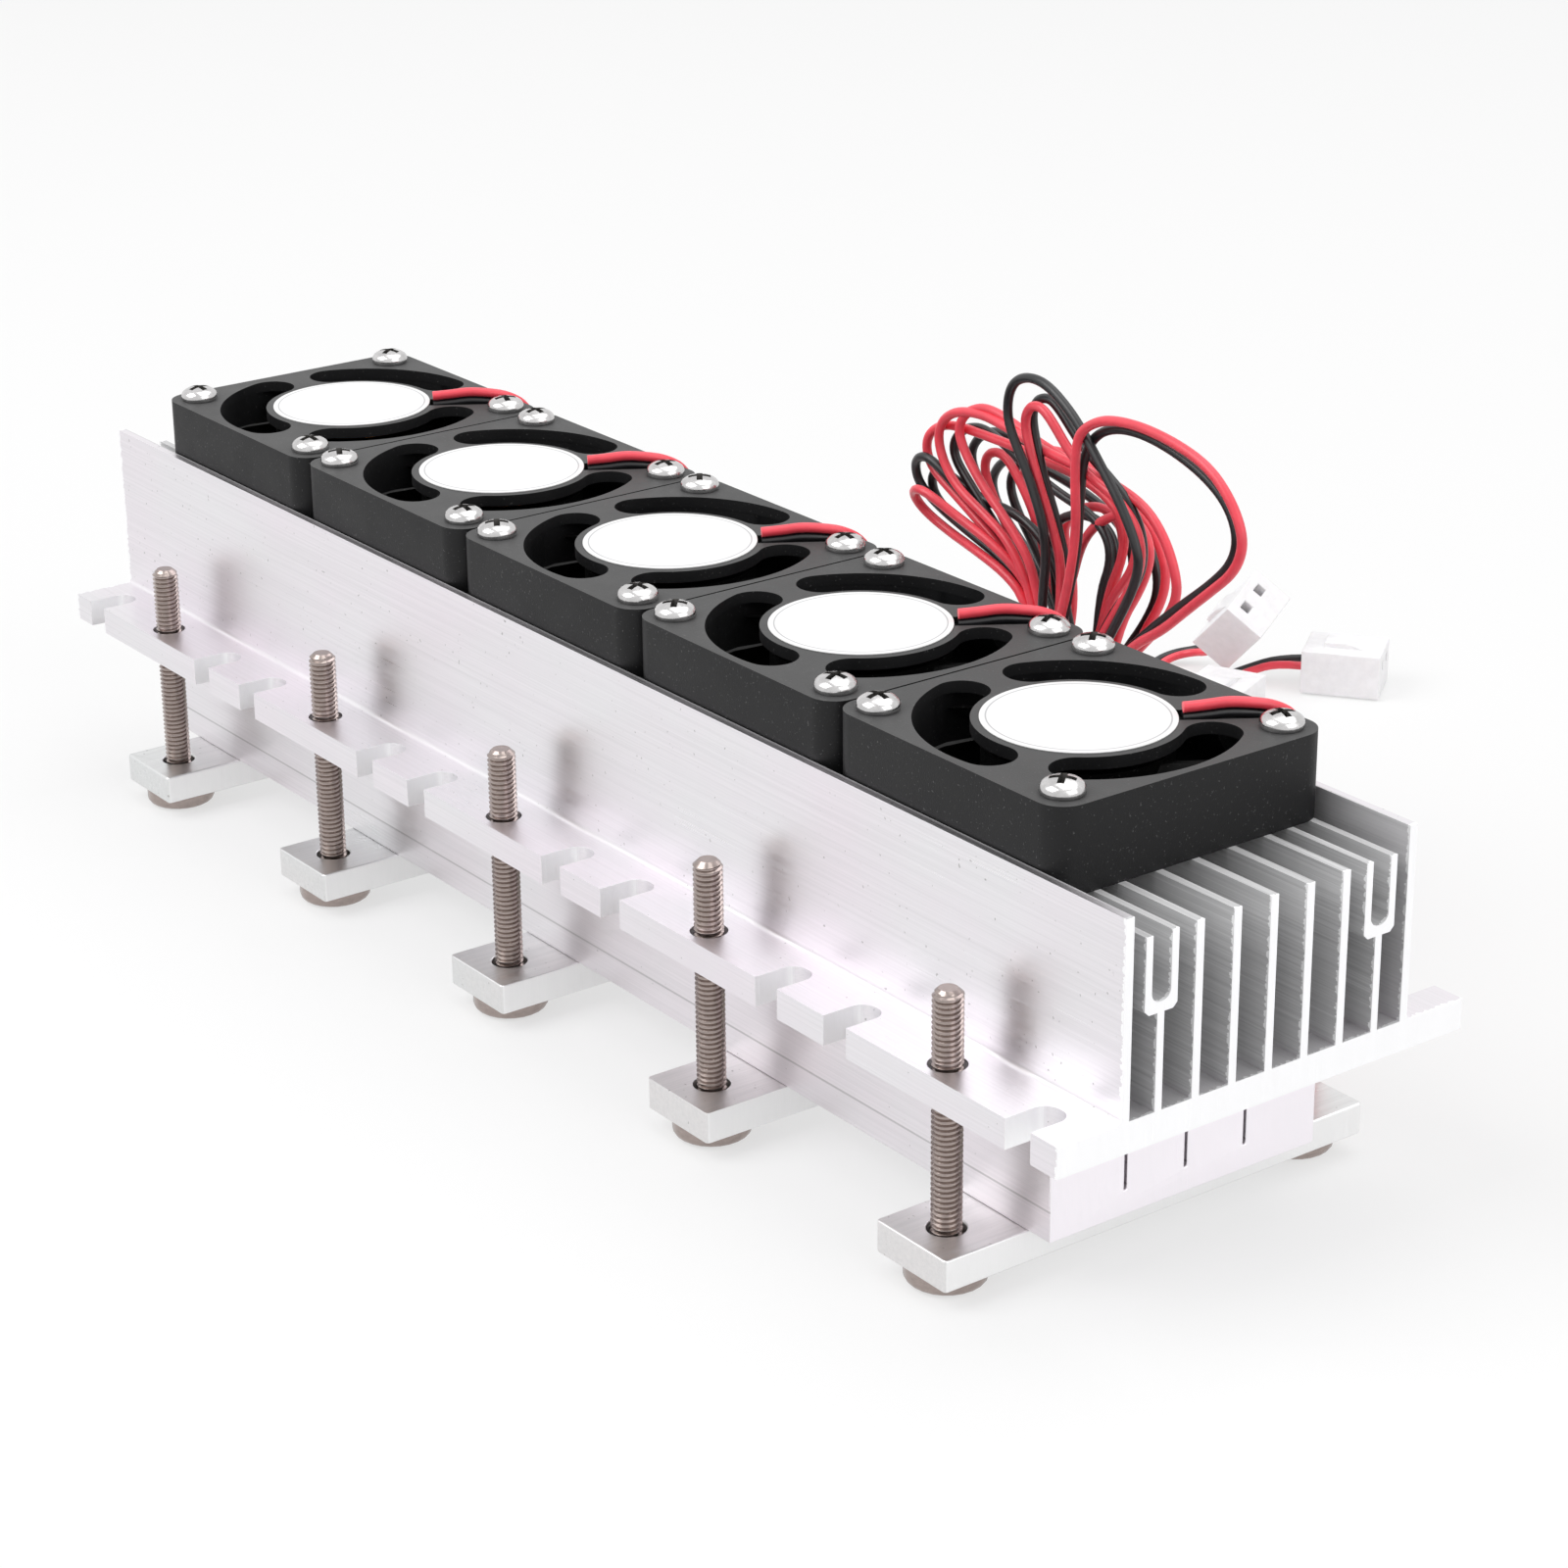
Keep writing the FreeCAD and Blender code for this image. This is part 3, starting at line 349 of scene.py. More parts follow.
# white film with a thin printed rim round each fan's middle
def makePrintedLabel(name, colour):
    printed = {"rim": 0.01045, "half": 0.00006, "fade": 0.00012, "ink": 0.6}
    made = makeFilm(name, colour)
    shader = shaderOf(made)
    plain = shader.inputs["Base Color"].links[0].from_socket
    spot = partsOf(made, "TexCoord", "Object")
    across = combine(made, "MULTIPLY", combine(made, "ADD", spot["X"], 2.5 * fanPitch), 1 / fanPitch)
    across = combine(made, "SUBTRACT", combine(made, "FRACT", across, 0.0), 0.5)
    flat = addNode(made, "CombineXYZ")
    join(made, combine(made, "MULTIPLY", across, fanPitch), flat.inputs[0])
    join(made, spot["Y"], flat.inputs[1])
    length = addNode(made, "VectorMath", {"operation": "LENGTH"})
    join(made, flat.outputs[0], length.inputs[0])
    away = combine(made, "SUBTRACT", length.outputs["Value"], printed["rim"])
    away = combine(made, "ABSOLUTE", away, 0.0)
    ink = spread(made, away, printed["half"], printed["fade"], printed["ink"], 0.0)
    join(made, blendColours(made, ink, plain, (0.22, 0.22, 0.24)), shader.inputs["Base Color"])
    return made


# enamelled copper, banded as it is wound
def makeWinding(name):
    made = newMaterial(name, (0.5, 0.22, 0.08), 0.3, 1.0)
    shader = shaderOf(made)
    bands = addNode(made, "TexWave", {"wave_type": "BANDS", "bands_direction": "Z"}, Scale=1.0,
                    Distortion=0.4)
    join(made, placed(made, (1000, 1000, 1000)), bands.inputs["Vector"])
    tone = blendColours(made, bands.outputs["Fac"], (0.28, 0.1, 0.03), (0.62, 0.3, 0.12))
    join(made, tone, shader.inputs["Base Color"])
    join(made, relief(made, bands.outputs["Fac"], 0.0001, 0.6), shader.inputs["Normal"])
    return made


aluminium = makeAluminium("drawnAluminium", (0.83, 0.82, 0.84), (0.85, 0.8, 0.845), (0.97, 0.97, 0.98),
                          channels=True)
blockAluminium = makeAluminium("blockAluminium", (0.82, 0.81, 0.83), (0.84, 0.79, 0.83),
                               (0.96, 0.925, 0.965), scribe=0.0102)
barAluminium = makeAluminium("barAluminium", (0.78, 0.79, 0.79), (0.8, 0.78, 0.78), (0.9, 0.9, 0.9),
                             lines=(1500, 60, 1500), cutTurn=0.7)
clampSteel = makeSteel("clampSteel", (0.42, 0.355, 0.33), 0.2, (900, 900, 2400), 0.000005)
plating = makeSteel("brightPlating", (0.66, 0.65, 0.65), 0.2, (900, 900, 900), 0.000001)
# painted shade: the near-black colour given to the faces inside the screws' recesses
recessShade = makeSteel("recessShade", (0.11, 0.105, 0.1), 0.5, (2500, 2500, 2500), 0.000004)
framePlastic = makeBlackPlastic("framePlastic", (0.0055, 0.0055, 0.006), 0.5, 0.28, 0.34)
rotorPlastic = makeBlackPlastic("rotorPlastic", (0.0015, 0.0015, 0.0015), 0.5, 0.1)
redInsulation = makeInsulation("redInsulation", (0.98, 0.075, 0.11))
blackInsulation = makeInsulation("blackInsulation", (0.012, 0.012, 0.014))
nylon = makeNylon("whiteNylon", (0.88, 0.87, 0.885))
labelFilm = makePrintedLabel("labelFilm", (0.86, 0.86, 0.86))
ceramic = makeFilm("firedCeramic", (0.84, 0.84, 0.8))
winding = makeWinding("windingCopper")
bronze = makeSteel("sinteredBronze", (0.66, 0.47, 0.24), 0.45, (4000, 4000, 4000), 0.00002)
tieCoat = makeInsulation("tieCoat", (0.03, 0.03, 0.03))


# meshes: small helpers
# turns the bmesh into an object at the origin, smooth but for its sharp edges
def finishMesh(shape, name, *finishes, sharp=32):
    mesh = bpy.data.meshes.new(name)
    shape.to_mesh(mesh)
    shape.free()
    mesh.polygons.foreach_set("use_smooth", [True] * len(mesh.polygons))
    mesh.set_sharp_from_angle(angle=math.radians(sharp))
    made = bpy.data.objects.new(name, mesh)
    scene.collection.objects.link(made)
    for finish in finishes:
        mesh.materials.append(finish)
    return made


# a live bevel on every edge sharper than 35 degrees
def softenEdges(made, width, segments=2, harden=True):
    edge = made.modifiers.new("edges", "BEVEL")
    edge.width = width
    edge.segments = segments
    edge.limit_method = "ANGLE"
    edge.angle_limit = math.radians(35)
    edge.harden_normals = harden


# the CAD node's own shape as a bmesh with its doubles merged and flat faces joined
def mergedCopy(node):
    shape = bmesh.new()
    shape.from_mesh(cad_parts[node].data)
    bmesh.ops.remove_doubles(shape, verts=shape.verts, dist=closer["cad"])
    bmesh.ops.dissolve_limit(shape, angle_limit=0.01, verts=shape.verts, edges=shape.edges)
    return shape


# a full turn of a profile of (radius, z) points about the Z axis
def turnProfile(shape, profile, steps):
    verts = [shape.verts.new((radius, 0, z)) for radius, z in profile]
    edges = [shape.edges.new(pair) for pair in zip(verts, verts[1:])]
    bmesh.ops.spin(shape, geom=verts + edges, angle=2 * math.pi, steps=steps, axis=(0, 0, 1),
                   cent=(0, 0, 0), use_merge=True)
    bmesh.ops.remove_doubles(shape, verts=shape.verts, dist=closer["turned"])


def everything(shape):
    return shape.verts[:] + shape.edges[:] + shape.faces[:]


def boundaryOf(shape):
    return [edge for edge in shape.edges if edge.is_boundary]


def vertsIn(parts):
    return [part for part in parts if isinstance(part, bmesh.types.BMVert)]


# joins copies of one pattern, each turned by chance, into one bmesh
def scatterPattern(pattern, places, turnRange):
    bmesh.ops.recalc_face_normals(pattern, faces=pattern.faces)
    mesh = bpy.data.meshes.new("pattern")
    pattern.to_mesh(mesh)
    pattern.free()
    joined = bmesh.new()
    for place in places:
        first = len(joined.verts)
        joined.from_mesh(mesh)
        joined.verts.ensure_lookup_table()
        turn = Matrix.Rotation(random.uniform(0, turnRange), 4, "Z")
        bmesh.ops.transform(joined, matrix=Matrix.Translation(place) @ turn, verts=joined.verts[first:])
    bpy.data.meshes.remove(mesh)
    return joined


# gives the second material, a painted shade, to the faces sunk more than a little below a head's face
def shadeRecess(shape, reach, isSunk):
    for face in shape.faces:
        middle = face.calc_center_median()
        if middle.xy.length < reach and isSunk(middle):
            face.material_index = 1


# a piece's body and the CAD node it stands for
def settle(made, body, node):
    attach(made, body)
    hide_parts(node)


# a piece that is its CAD node's own shape with softened edges
def softCopy(node, name, finish, body, slot, edge, **bevel):
    made = finishMesh(mergedCopy(node), name, finish)
    softenEdges(made, edge, **bevel)
    settle(made, body, node)
    return made


# a piece that stays as its CAD node, with a finish
def dress(node, finish):
    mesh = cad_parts[node].data
    mesh.materials.clear()
    mesh.materials.append(finish)


# leads: one red and one black core each, all tied in one hank behind the stack
print("leads")
lead = {"core": 0.0013, "apart": 0.00067, "neckLow": 0.021, "neckHigh": 0.031, "steps": 5, "sides": 3,
        "turnLeft": 0.0186, "turnRight": 0.0314, "turnLow": 0.0008, "turnHigh": 0.0125}
# from each fan's middle: out of the hub's groove, over the frame and down behind the heatsink
overTheEdge = [
    (0.0067, 0.0096, 0.0583), (0.0079, 0.0117, 0.0584), (0.0092, 0.0140, 0.0587), (0.0106, 0.0162, 0.0585),
    (0.0117, 0.0186, 0.0580), (0.0120, 0.0213, 0.0564), (0.0122, 0.0221, 0.0536), (0.0124, 0.0230, 0.0509),
    (0.0123, 0.0236, 0.0473), (0.0121, 0.0274, 0.0426), (0.0113, 0.0312, 0.0376), (0.0088, 0.0334, 0.0295),
    (0.0035, 0.0342, 0.0215),
]
# how far red lies above black at each of these, in degrees
overTwist = [75, 78, 80, 80, 75, 66, 58, 50, 40, 30, 20, 10, 0]
floorRoutes = {
    1: {"toHank": [(-0.0760, 0.0366, 0.0110), (-0.0730, 0.0388, 0.0030), (-0.0640, 0.0406, 0.0008),
                   (-0.0530, 0.0422, 0.0008), (-0.0420, 0.0445, 0.0008), (-0.0280, 0.0432, 0.0008),
                   (-0.0120, 0.0456, 0.0008), (0.0030, 0.0442, 0.0008), (0.0125, 0.0458, 0.0008),
                   (0.0226, 0.0456, 0.0010)],
        "toPlug": [(0.0243, 0.0490, 0.0010), (0.0205, 0.0578, 0.0008), (0.0140, 0.0650, 0.0008),
                   (0.0050, 0.0756, 0.0008), (-0.0060, 0.0870, 0.0008), (-0.0165, 0.0990, 0.0008),
                   (-0.0246, 0.1096, 0.0008), (-0.0294, 0.1192, 0.0008), (-0.0312, 0.1262, 0.0008),
                   (-0.0306, 0.1314, 0.0016)]},
    2: {"toHank": [(-0.0362, 0.0366, 0.0110), (-0.0332, 0.0384, 0.0030), (-0.0245, 0.0396, 0.0008),
                   (-0.0140, 0.0398, 0.0008), (-0.0030, 0.0388, 0.0008), (0.0080, 0.0406, 0.0008),
                   (0.0150, 0.0420, 0.0008), (0.0232, 0.0437, 0.0010)],
        "toPlug": [(0.0226, 0.0492, 0.0010), (0.0160, 0.0578, 0.0008), (0.0090, 0.0644, 0.0008),
                   (-0.0005, 0.0734, 0.0008), (-0.0115, 0.0844, 0.0008), (-0.0225, 0.0962, 0.0008),
                   (-0.0316, 0.1074, 0.0008), (-0.0364, 0.1158, 0.0008), (-0.0404, 0.1206, 0.0008),
                   (-0.0434, 0.1242, 0.0009), (-0.0436, 0.1282, 0.0014), (-0.0408, 0.1304, 0.0023)]},
    3: {"toHank": [(0.0076, 0.0348, 0.0140), (0.0132, 0.0346, 0.0068), (0.0178, 0.0354, 0.0012),
                   (0.0246, 0.0418, 0.0008)],
        "toPlug": [(0.0262, 0.0494, 0.0010), (0.0246, 0.0580, 0.0008), (0.0196, 0.0664, 0.0008),
                   (0.0112, 0.0770, 0.0008), (0.0016, 0.0870, 0.0008), (-0.0064, 0.0952, 0.0010),
                   (-0.0112, 0.1010, 0.0020)]},
    4: {"toHank": [(0.0446, 0.0364, 0.0115), (0.0466, 0.0386, 0.0044), (0.0436, 0.0418, 0.0010),
                   (0.0368, 0.0432, 0.0008), (0.0276, 0.0448, 0.0010)],
        "toPlug": [(0.0224, 0.0482, 0.0010), (0.0125, 0.0500, 0.0008), (0.0040, 0.0525, 0.0008),
                   (-0.0040, 0.0550, 0.0008), (-0.0120, 0.0576, 0.0016)]},
    5: {"toHank": [(0.0820, 0.0364, 0.0115), (0.0785, 0.0392, 0.0034), (0.0705, 0.0434, 0.0008),
                   (0.0580, 0.0448, 0.0008), (0.0454, 0.0472, 0.0008), (0.0368, 0.0478, 0.0008),
                   (0.0278, 0.0478, 0.0010)],
        "toPlug": [(0.0222, 0.0500, 0.0010), (0.0130, 0.0530, 0.0008), (0.0060, 0.0578, 0.0008),
                   (-0.0010, 0.0622, 0.0008), (-0.0086, 0.0676, 0.0017)]},
}
# the hank's loops above its tie; the last five fill its middle
hankLoops = {
    "tallBlack": [(0.0234, 0.0425, 0.0459), (0.0247, 0.0424, 0.0555), (0.0208, 0.0424, 0.0634),
                  (0.0166, 0.0423, 0.0691), (0.0163, 0.0422, 0.0727), (0.0177, 0.0421, 0.0756),
                  (0.0207, 0.0421, 0.0769), (0.0244, 0.0420, 0.0767), (0.0284, 0.0419, 0.0747),
                  (0.0314, 0.0419, 0.0724), (0.0348, 0.0418, 0.0691), (0.0393, 0.0417, 0.0646),
                  (0.0425, 0.0416, 0.0602), (0.0434, 0.0416, 0.0571), (0.0412, 0.0415, 0.0515)],
    "pairRed": [(0.0259, 0.0442, 0.0511), (0.0238, 0.0439, 0.0570), (0.0214, 0.0437, 0.0618),
                (0.0193, 0.0438, 0.0659), (0.0180, 0.0437, 0.0699), (0.0196, 0.0432, 0.0725),
                (0.0220, 0.0430, 0.0731), (0.0242, 0.0430, 0.0718), (0.0274, 0.0435, 0.0680),
                (0.0314, 0.0438, 0.0655), (0.0364, 0.0441, 0.0639), (0.0403, 0.0444, 0.0601),
                (0.0402, 0.0447, 0.0548), (0.0352, 0.0450, 0.0484)],
    "pairBlack": [(0.0253, 0.0454, 0.0507), (0.0234, 0.0452, 0.0567), (0.0212, 0.0450, 0.0615),
                  (0.0192, 0.0451, 0.0659), (0.0180, 0.0449, 0.0705), (0.0193, 0.0447, 0.0731),
                  (0.0219, 0.0446, 0.0739), (0.0240, 0.0447, 0.0727), (0.0278, 0.0449, 0.0691),
                  (0.0321, 0.0451, 0.0665), (0.0362, 0.0452, 0.0641), (0.0392, 0.0454, 0.0607),
                  (0.0399, 0.0455, 0.0561), (0.0377, 0.0457, 0.0518), (0.0335, 0.0458, 0.0475)],
    "rightRed": [(0.0293, 0.0412, 0.0481), (0.0307, 0.0411, 0.0532), (0.0317, 0.0411, 0.0596),
                 (0.0313, 0.0410, 0.0661), (0.0314, 0.0410, 0.0701), (0.0325, 0.0409, 0.0727),
                 (0.0358, 0.0409, 0.0747), (0.0396, 0.0408, 0.0756), (0.0447, 0.0408, 0.0758),
                 (0.0511, 0.0407, 0.0751), (0.0566, 0.0406, 0.0736), (0.0603, 0.0406, 0.0707),
                 (0.0626, 0.0405, 0.0675), (0.0630, 0.0405, 0.0647), (0.0616, 0.0404, 0.0615),
                 (0.0578, 0.0404, 0.0582), (0.0534, 0.0403, 0.0544), (0.0490, 0.0403, 0.0505),
                 (0.0435, 0.0402, 0.0470)],
    "rightBlack": [(0.0297, 0.0430, 0.0545), (0.0300, 0.0430, 0.0609), (0.0303, 0.0430, 0.0652),
                   (0.0308, 0.0430, 0.0687), (0.0331, 0.0428, 0.0719), (0.0370, 0.0426, 0.0738),
                   (0.0421, 0.0426, 0.0742), (0.0477, 0.0428, 0.0733), (0.0533, 0.0430, 0.0714),
                   (0.0573, 0.0432, 0.0687), (0.0592, 0.0433, 0.0650), (0.0584, 0.0433, 0.0614),
                   (0.0547, 0.0433, 0.0576), (0.0488, 0.0433, 0.0529), (0.0432, 0.0432, 0.0481)],
    "leftRed": [(0.0169, 0.0466, 0.0450), (0.0121, 0.0465, 0.0514), (0.0068, 0.0465, 0.0539),
                (0.0010, 0.0464, 0.0563), (-0.0020, 0.0463, 0.0595), (-0.0031, 0.0463, 0.0627),
                (-0.0018, 0.0462, 0.0653), (0.0014, 0.0461, 0.0672), (0.0066, 0.0461, 0.0679),
                (0.0118, 0.0460, 0.0673), (0.0190, 0.0460, 0.0659), (0.0280, 0.0461, 0.0652),
                (0.0340, 0.0460, 0.0647), (0.0396, 0.0459, 0.0632), (0.0432, 0.0458, 0.0602),
                (0.0454, 0.0457, 0.0566), (0.0462, 0.0456, 0.0534), (0.0445, 0.0455, 0.0498),
                (0.0402, 0.0453, 0.0451)],
    "leftRedLow": [(0.0151, 0.0478, 0.0441), (0.0108, 0.0476, 0.0485), (0.0056, 0.0474, 0.0517),
                   (-0.0002, 0.0473, 0.0547), (-0.0048, 0.0473, 0.0569), (-0.0064, 0.0472, 0.0589),
                   (-0.0066, 0.0472, 0.0609), (-0.0056, 0.0473, 0.0626), (-0.0031, 0.0475, 0.0640),
                   (0.0006, 0.0477, 0.0644), (0.0059, 0.0480, 0.0642), (0.0104, 0.0483, 0.0640),
                   (0.0149, 0.0486, 0.0635), (0.0223, 0.0490, 0.0629), (0.0285, 0.0491, 0.0614),
                   (0.0322, 0.0489, 0.0587), (0.0325, 0.0485, 0.0541), (0.0302, 0.0480, 0.0488)],
    "upperRed": [(0.0175, 0.0468, 0.0456), (0.0159, 0.0467, 0.0501), (0.0112, 0.0465, 0.0544),
                 (0.0067, 0.0464, 0.0576), (0.0035, 0.0464, 0.0607), (0.0017, 0.0464, 0.0630),
                 (0.0014, 0.0463, 0.0650), (0.0026, 0.0465, 0.0671), (0.0054, 0.0466, 0.0685),
                 (0.0083, 0.0467, 0.0686), (0.0116, 0.0469, 0.0679), (0.0165, 0.0472, 0.0663),
                 (0.0225, 0.0475, 0.0650), (0.0292, 0.0477, 0.0635), (0.0338, 0.0478, 0.0609),
                 (0.0362, 0.0478, 0.0573), (0.0351, 0.0476, 0.0528), (0.0311, 0.0472, 0.0481)],
    "leftBlack": [(0.0149, 0.0476, 0.0452), (0.0095, 0.0473, 0.0483), (0.0026, 0.0471, 0.0504),
                  (-0.0045, 0.0478, 0.0519), (-0.0081, 0.0471, 0.0545), (-0.0081, 0.0463, 0.0577),
                  (-0.0058, 0.0458, 0.0594), (-0.0031, 0.0460, 0.0589), (0.0011, 0.0469, 0.0557),
                  (0.0066, 0.0476, 0.0530), (0.0117, 0.0482, 0.0492), (0.0155, 0.0488, 0.0441)],
    "outerBlack": [(0.0134, 0.0496, 0.0433), (0.0086, 0.0494, 0.0465), (0.0025, 0.0493, 0.0488),
                   (-0.0037, 0.0500, 0.0500), (-0.0071, 0.0491, 0.0525), (-0.0071, 0.0484, 0.0555),
                   (-0.0049, 0.0479, 0.0573), (-0.0023, 0.0480, 0.0569), (0.0032, 0.0490, 0.0546),
                   (0.0092, 0.0494, 0.0544), (0.0144, 0.0499, 0.0523), (0.0180, 0.0504, 0.0477)],
    "lowRed": [(0.0157, 0.0463, 0.0445), (0.0119, 0.0460, 0.0471), (0.0059, 0.0458, 0.0488),
               (-0.0013, 0.0467, 0.0496), (-0.0050, 0.0454, 0.0519), (-0.0051, 0.0436, 0.0546),
               (-0.0028, 0.0425, 0.0561), (-0.0001, 0.0427, 0.0557), (0.0037, 0.0445, 0.0531),
               (0.0088, 0.0454, 0.0512), (0.0134, 0.0464, 0.0484), (0.0168, 0.0474, 0.0441)],
    "innerBlack": [(0.0150, 0.0489, 0.0444), (0.0118, 0.0488, 0.0475), (0.0079, 0.0486, 0.0509),
                   (0.0038, 0.0485, 0.0543), (0.0002, 0.0485, 0.0573), (-0.0018, 0.0484, 0.0593),
                   (-0.0022, 0.0483, 0.0614), (-0.0010, 0.0486, 0.0634), (0.0019, 0.0486, 0.0647),
                   (0.0046, 0.0488, 0.0646), (0.0078, 0.0491, 0.0634), (0.0123, 0.0495, 0.0611),
                   (0.0175, 0.0499, 0.0591), (0.0237, 0.0500, 0.0579), (0.0278, 0.0499, 0.0558),
                   (0.0290, 0.0496, 0.0524), (0.0273, 0.0492, 0.0477)],
    "smallBlack": [(0.0168, 0.0512, 0.0418), (0.0161, 0.0511, 0.0466), (0.0154, 0.0511, 0.0520),
                   (0.0164, 0.0510, 0.0547), (0.0204, 0.0509, 0.0567), (0.0244, 0.0509, 0.0570),
                   (0.0274, 0.0508, 0.0558), (0.0287, 0.0507, 0.0534), (0.0281, 0.0507, 0.0498),
                   (0.0258, 0.0506, 0.0443)],
    "smallRed": [(0.0189, 0.0502, 0.0426), (0.0208, 0.0501, 0.0480), (0.0222, 0.0501, 0.0526),
                 (0.0246, 0.0500, 0.0559), (0.0275, 0.0499, 0.0580), (0.0313, 0.0499, 0.0597),
                 (0.0348, 0.0498, 0.0585), (0.0366, 0.0497, 0.0556), (0.0351, 0.0497, 0.0508),
                 (0.0309, 0.0496, 0.0445)],
    "backRed": [(0.0107, 0.0515, 0.0422), (0.0085, 0.0516, 0.0466), (0.0054, 0.0517, 0.0507),
                (0.0020, 0.0521, 0.0538), (-0.0000, 0.0519, 0.0573), (0.0010, 0.0516, 0.0601),
                (0.0036, 0.0516, 0.0610), (0.0059, 0.0517, 0.0599), (0.0094, 0.0520, 0.0556),
                (0.0116, 0.0523, 0.0511), (0.0130, 0.0526, 0.0459)],
    "midBlack": [(0.0147, 0.0512, 0.0377), (0.0104, 0.0524, 0.0441), (0.0046, 0.0530, 0.0503),
                 (-0.0004, 0.0530, 0.0540), (-0.0038, 0.0530, 0.0566), (-0.0041, 0.0530, 0.0595),
                 (-0.0014, 0.0530, 0.0623), (0.0027, 0.0530, 0.0633), (0.0081, 0.0530, 0.0626),
                 (0.0145, 0.0530, 0.0614), (0.0205, 0.0530, 0.0607), (0.0260, 0.0530, 0.0593),
                 (0.0302, 0.0530, 0.0563), (0.0314, 0.0530, 0.0522), (0.0305, 0.0524, 0.0474),
                 (0.0279, 0.0512, 0.0420)],
    "midRed": [(0.0157, 0.0534, 0.0375), (0.0135, 0.0542, 0.0429), (0.0113, 0.0544, 0.0478),
               (0.0083, 0.0544, 0.0521), (0.0057, 0.0544, 0.0553), (0.0053, 0.0544, 0.0585),
               (0.0081, 0.0544, 0.0616), (0.0125, 0.0544, 0.0628), (0.0177, 0.0544, 0.0623),
               (0.0233, 0.0544, 0.0608), (0.0288, 0.0544, 0.0584), (0.0328, 0.0544, 0.0551),
               (0.0345, 0.0544, 0.0512), (0.0338, 0.0542, 0.0470), (0.0309, 0.0534, 0.0418)],
    "farBlack": [(0.0155, 0.0542, 0.0356), (0.0115, 0.0554, 0.0415), (0.0063, 0.0558, 0.0474),
                 (0.0021, 0.0558, 0.0519), (0.0006, 0.0558, 0.0554), (0.0030, 0.0558, 0.0589),
                 (0.0080, 0.0558, 0.0604), (0.0141, 0.0558, 0.0600), (0.0205, 0.0558, 0.0587),
                 (0.0266, 0.0558, 0.0559), (0.0306, 0.0558, 0.0521), (0.0315, 0.0558, 0.0475),
                 (0.0293, 0.0554, 0.0426), (0.0262, 0.0542, 0.0376)],
    "curlRed": [(0.0152, 0.0539, 0.0350), (0.0154, 0.0550, 0.0405), (0.0135, 0.0565, 0.0452),
                (0.0110, 0.0572, 0.0483), (0.0107, 0.0572, 0.0516), (0.0137, 0.0572, 0.0545),
                (0.0182, 0.0572, 0.0559), (0.0218, 0.0572, 0.0549), (0.0229, 0.0571, 0.0520),
                (0.0221, 0.0570, 0.0479), (0.0212, 0.0560, 0.0435), (0.0205, 0.0545, 0.0386)],
    "lowBlack": [(0.0159, 0.0539, 0.0347), (0.0107, 0.0555, 0.0402), (0.0040, 0.0575, 0.0447),
                 (-0.0028, 0.0585, 0.0481), (-0.0056, 0.0585, 0.0508), (-0.0063, 0.0585, 0.0538),
                 (-0.0037, 0.0585, 0.0569), (0.0009, 0.0585, 0.0580), (0.0066, 0.0585, 0.0574),
                 (0.0131, 0.0585, 0.0563), (0.0191, 0.0585, 0.0545), (0.0228, 0.0585, 0.0516),
                 (0.0241, 0.0580, 0.0477), (0.0238, 0.0565, 0.0430), (0.0229, 0.0550, 0.0387)],
}
neckRows = {"front": 0.0422, "second": 0.0435, "third": 0.0448, "fourth": 0.0461, "fifth": 0.0474,
            "sixth": 0.0487, "seventh": 0.0500, "back": 0.0513, "rear": 0.0526, "last": 0.0539}
neckColumns = (0.02305, 0.02435, 0.02565, 0.02695)
# the loops that each core makes, each with its row in the tie and the columns it goes up and down
hankPasses = {
    (1, "red"): [("leftRed", "third", 0, 3), ("midRed", "rear", 0, 3)],
    (1, "black"): [("leftBlack", "fifth", 1, 2), ("midBlack", "seventh", 0, 2)],
    (2, "red"): [("leftRedLow", "fifth", 0, 3), ("curlRed", "last", 1, 2)],
    (2, "black"): [("innerBlack", "sixth", 1, 3), ("farBlack", "rear", 1, 2)],
    (3, "red"): [("pairRed", "second", 1, 2), ("lowRed", "fourth", 0, 2)],
    (3, "black"): [("pairBlack", "third", 1, 2), ("outerBlack", "sixth", 0, 2)],
    (4, "red"): [("upperRed", "fourth", 1, 3), ("backRed", "back", 0, 1)],
    (4, "black"): [("tallBlack", "second", 0, 3), ("smallBlack", "back", 2, 3)],
    (5, "red"): [("rightRed", "front", 0, 3), ("smallRed", "seventh", 1, 3)],
    (5, "black"): [("rightBlack", "front", 1, 2), ("lowBlack", "last", 0, 3)],
}
# between its two loops a core turns back below the tie, just above the floor: how far back it does so
floorTurns = {(3, "red"): 0.0425, (3, "black"): 0.0447, (4, "red"): 0.0489, (4, "black"): 0.0468,
              (5, "red"): 0.0403, (1, "black"): 0.0510, (1, "red"): 0.0552, (2, "black"): 0.0531,
              (2, "red"): 0.0573, (5, "black"): 0.0594}
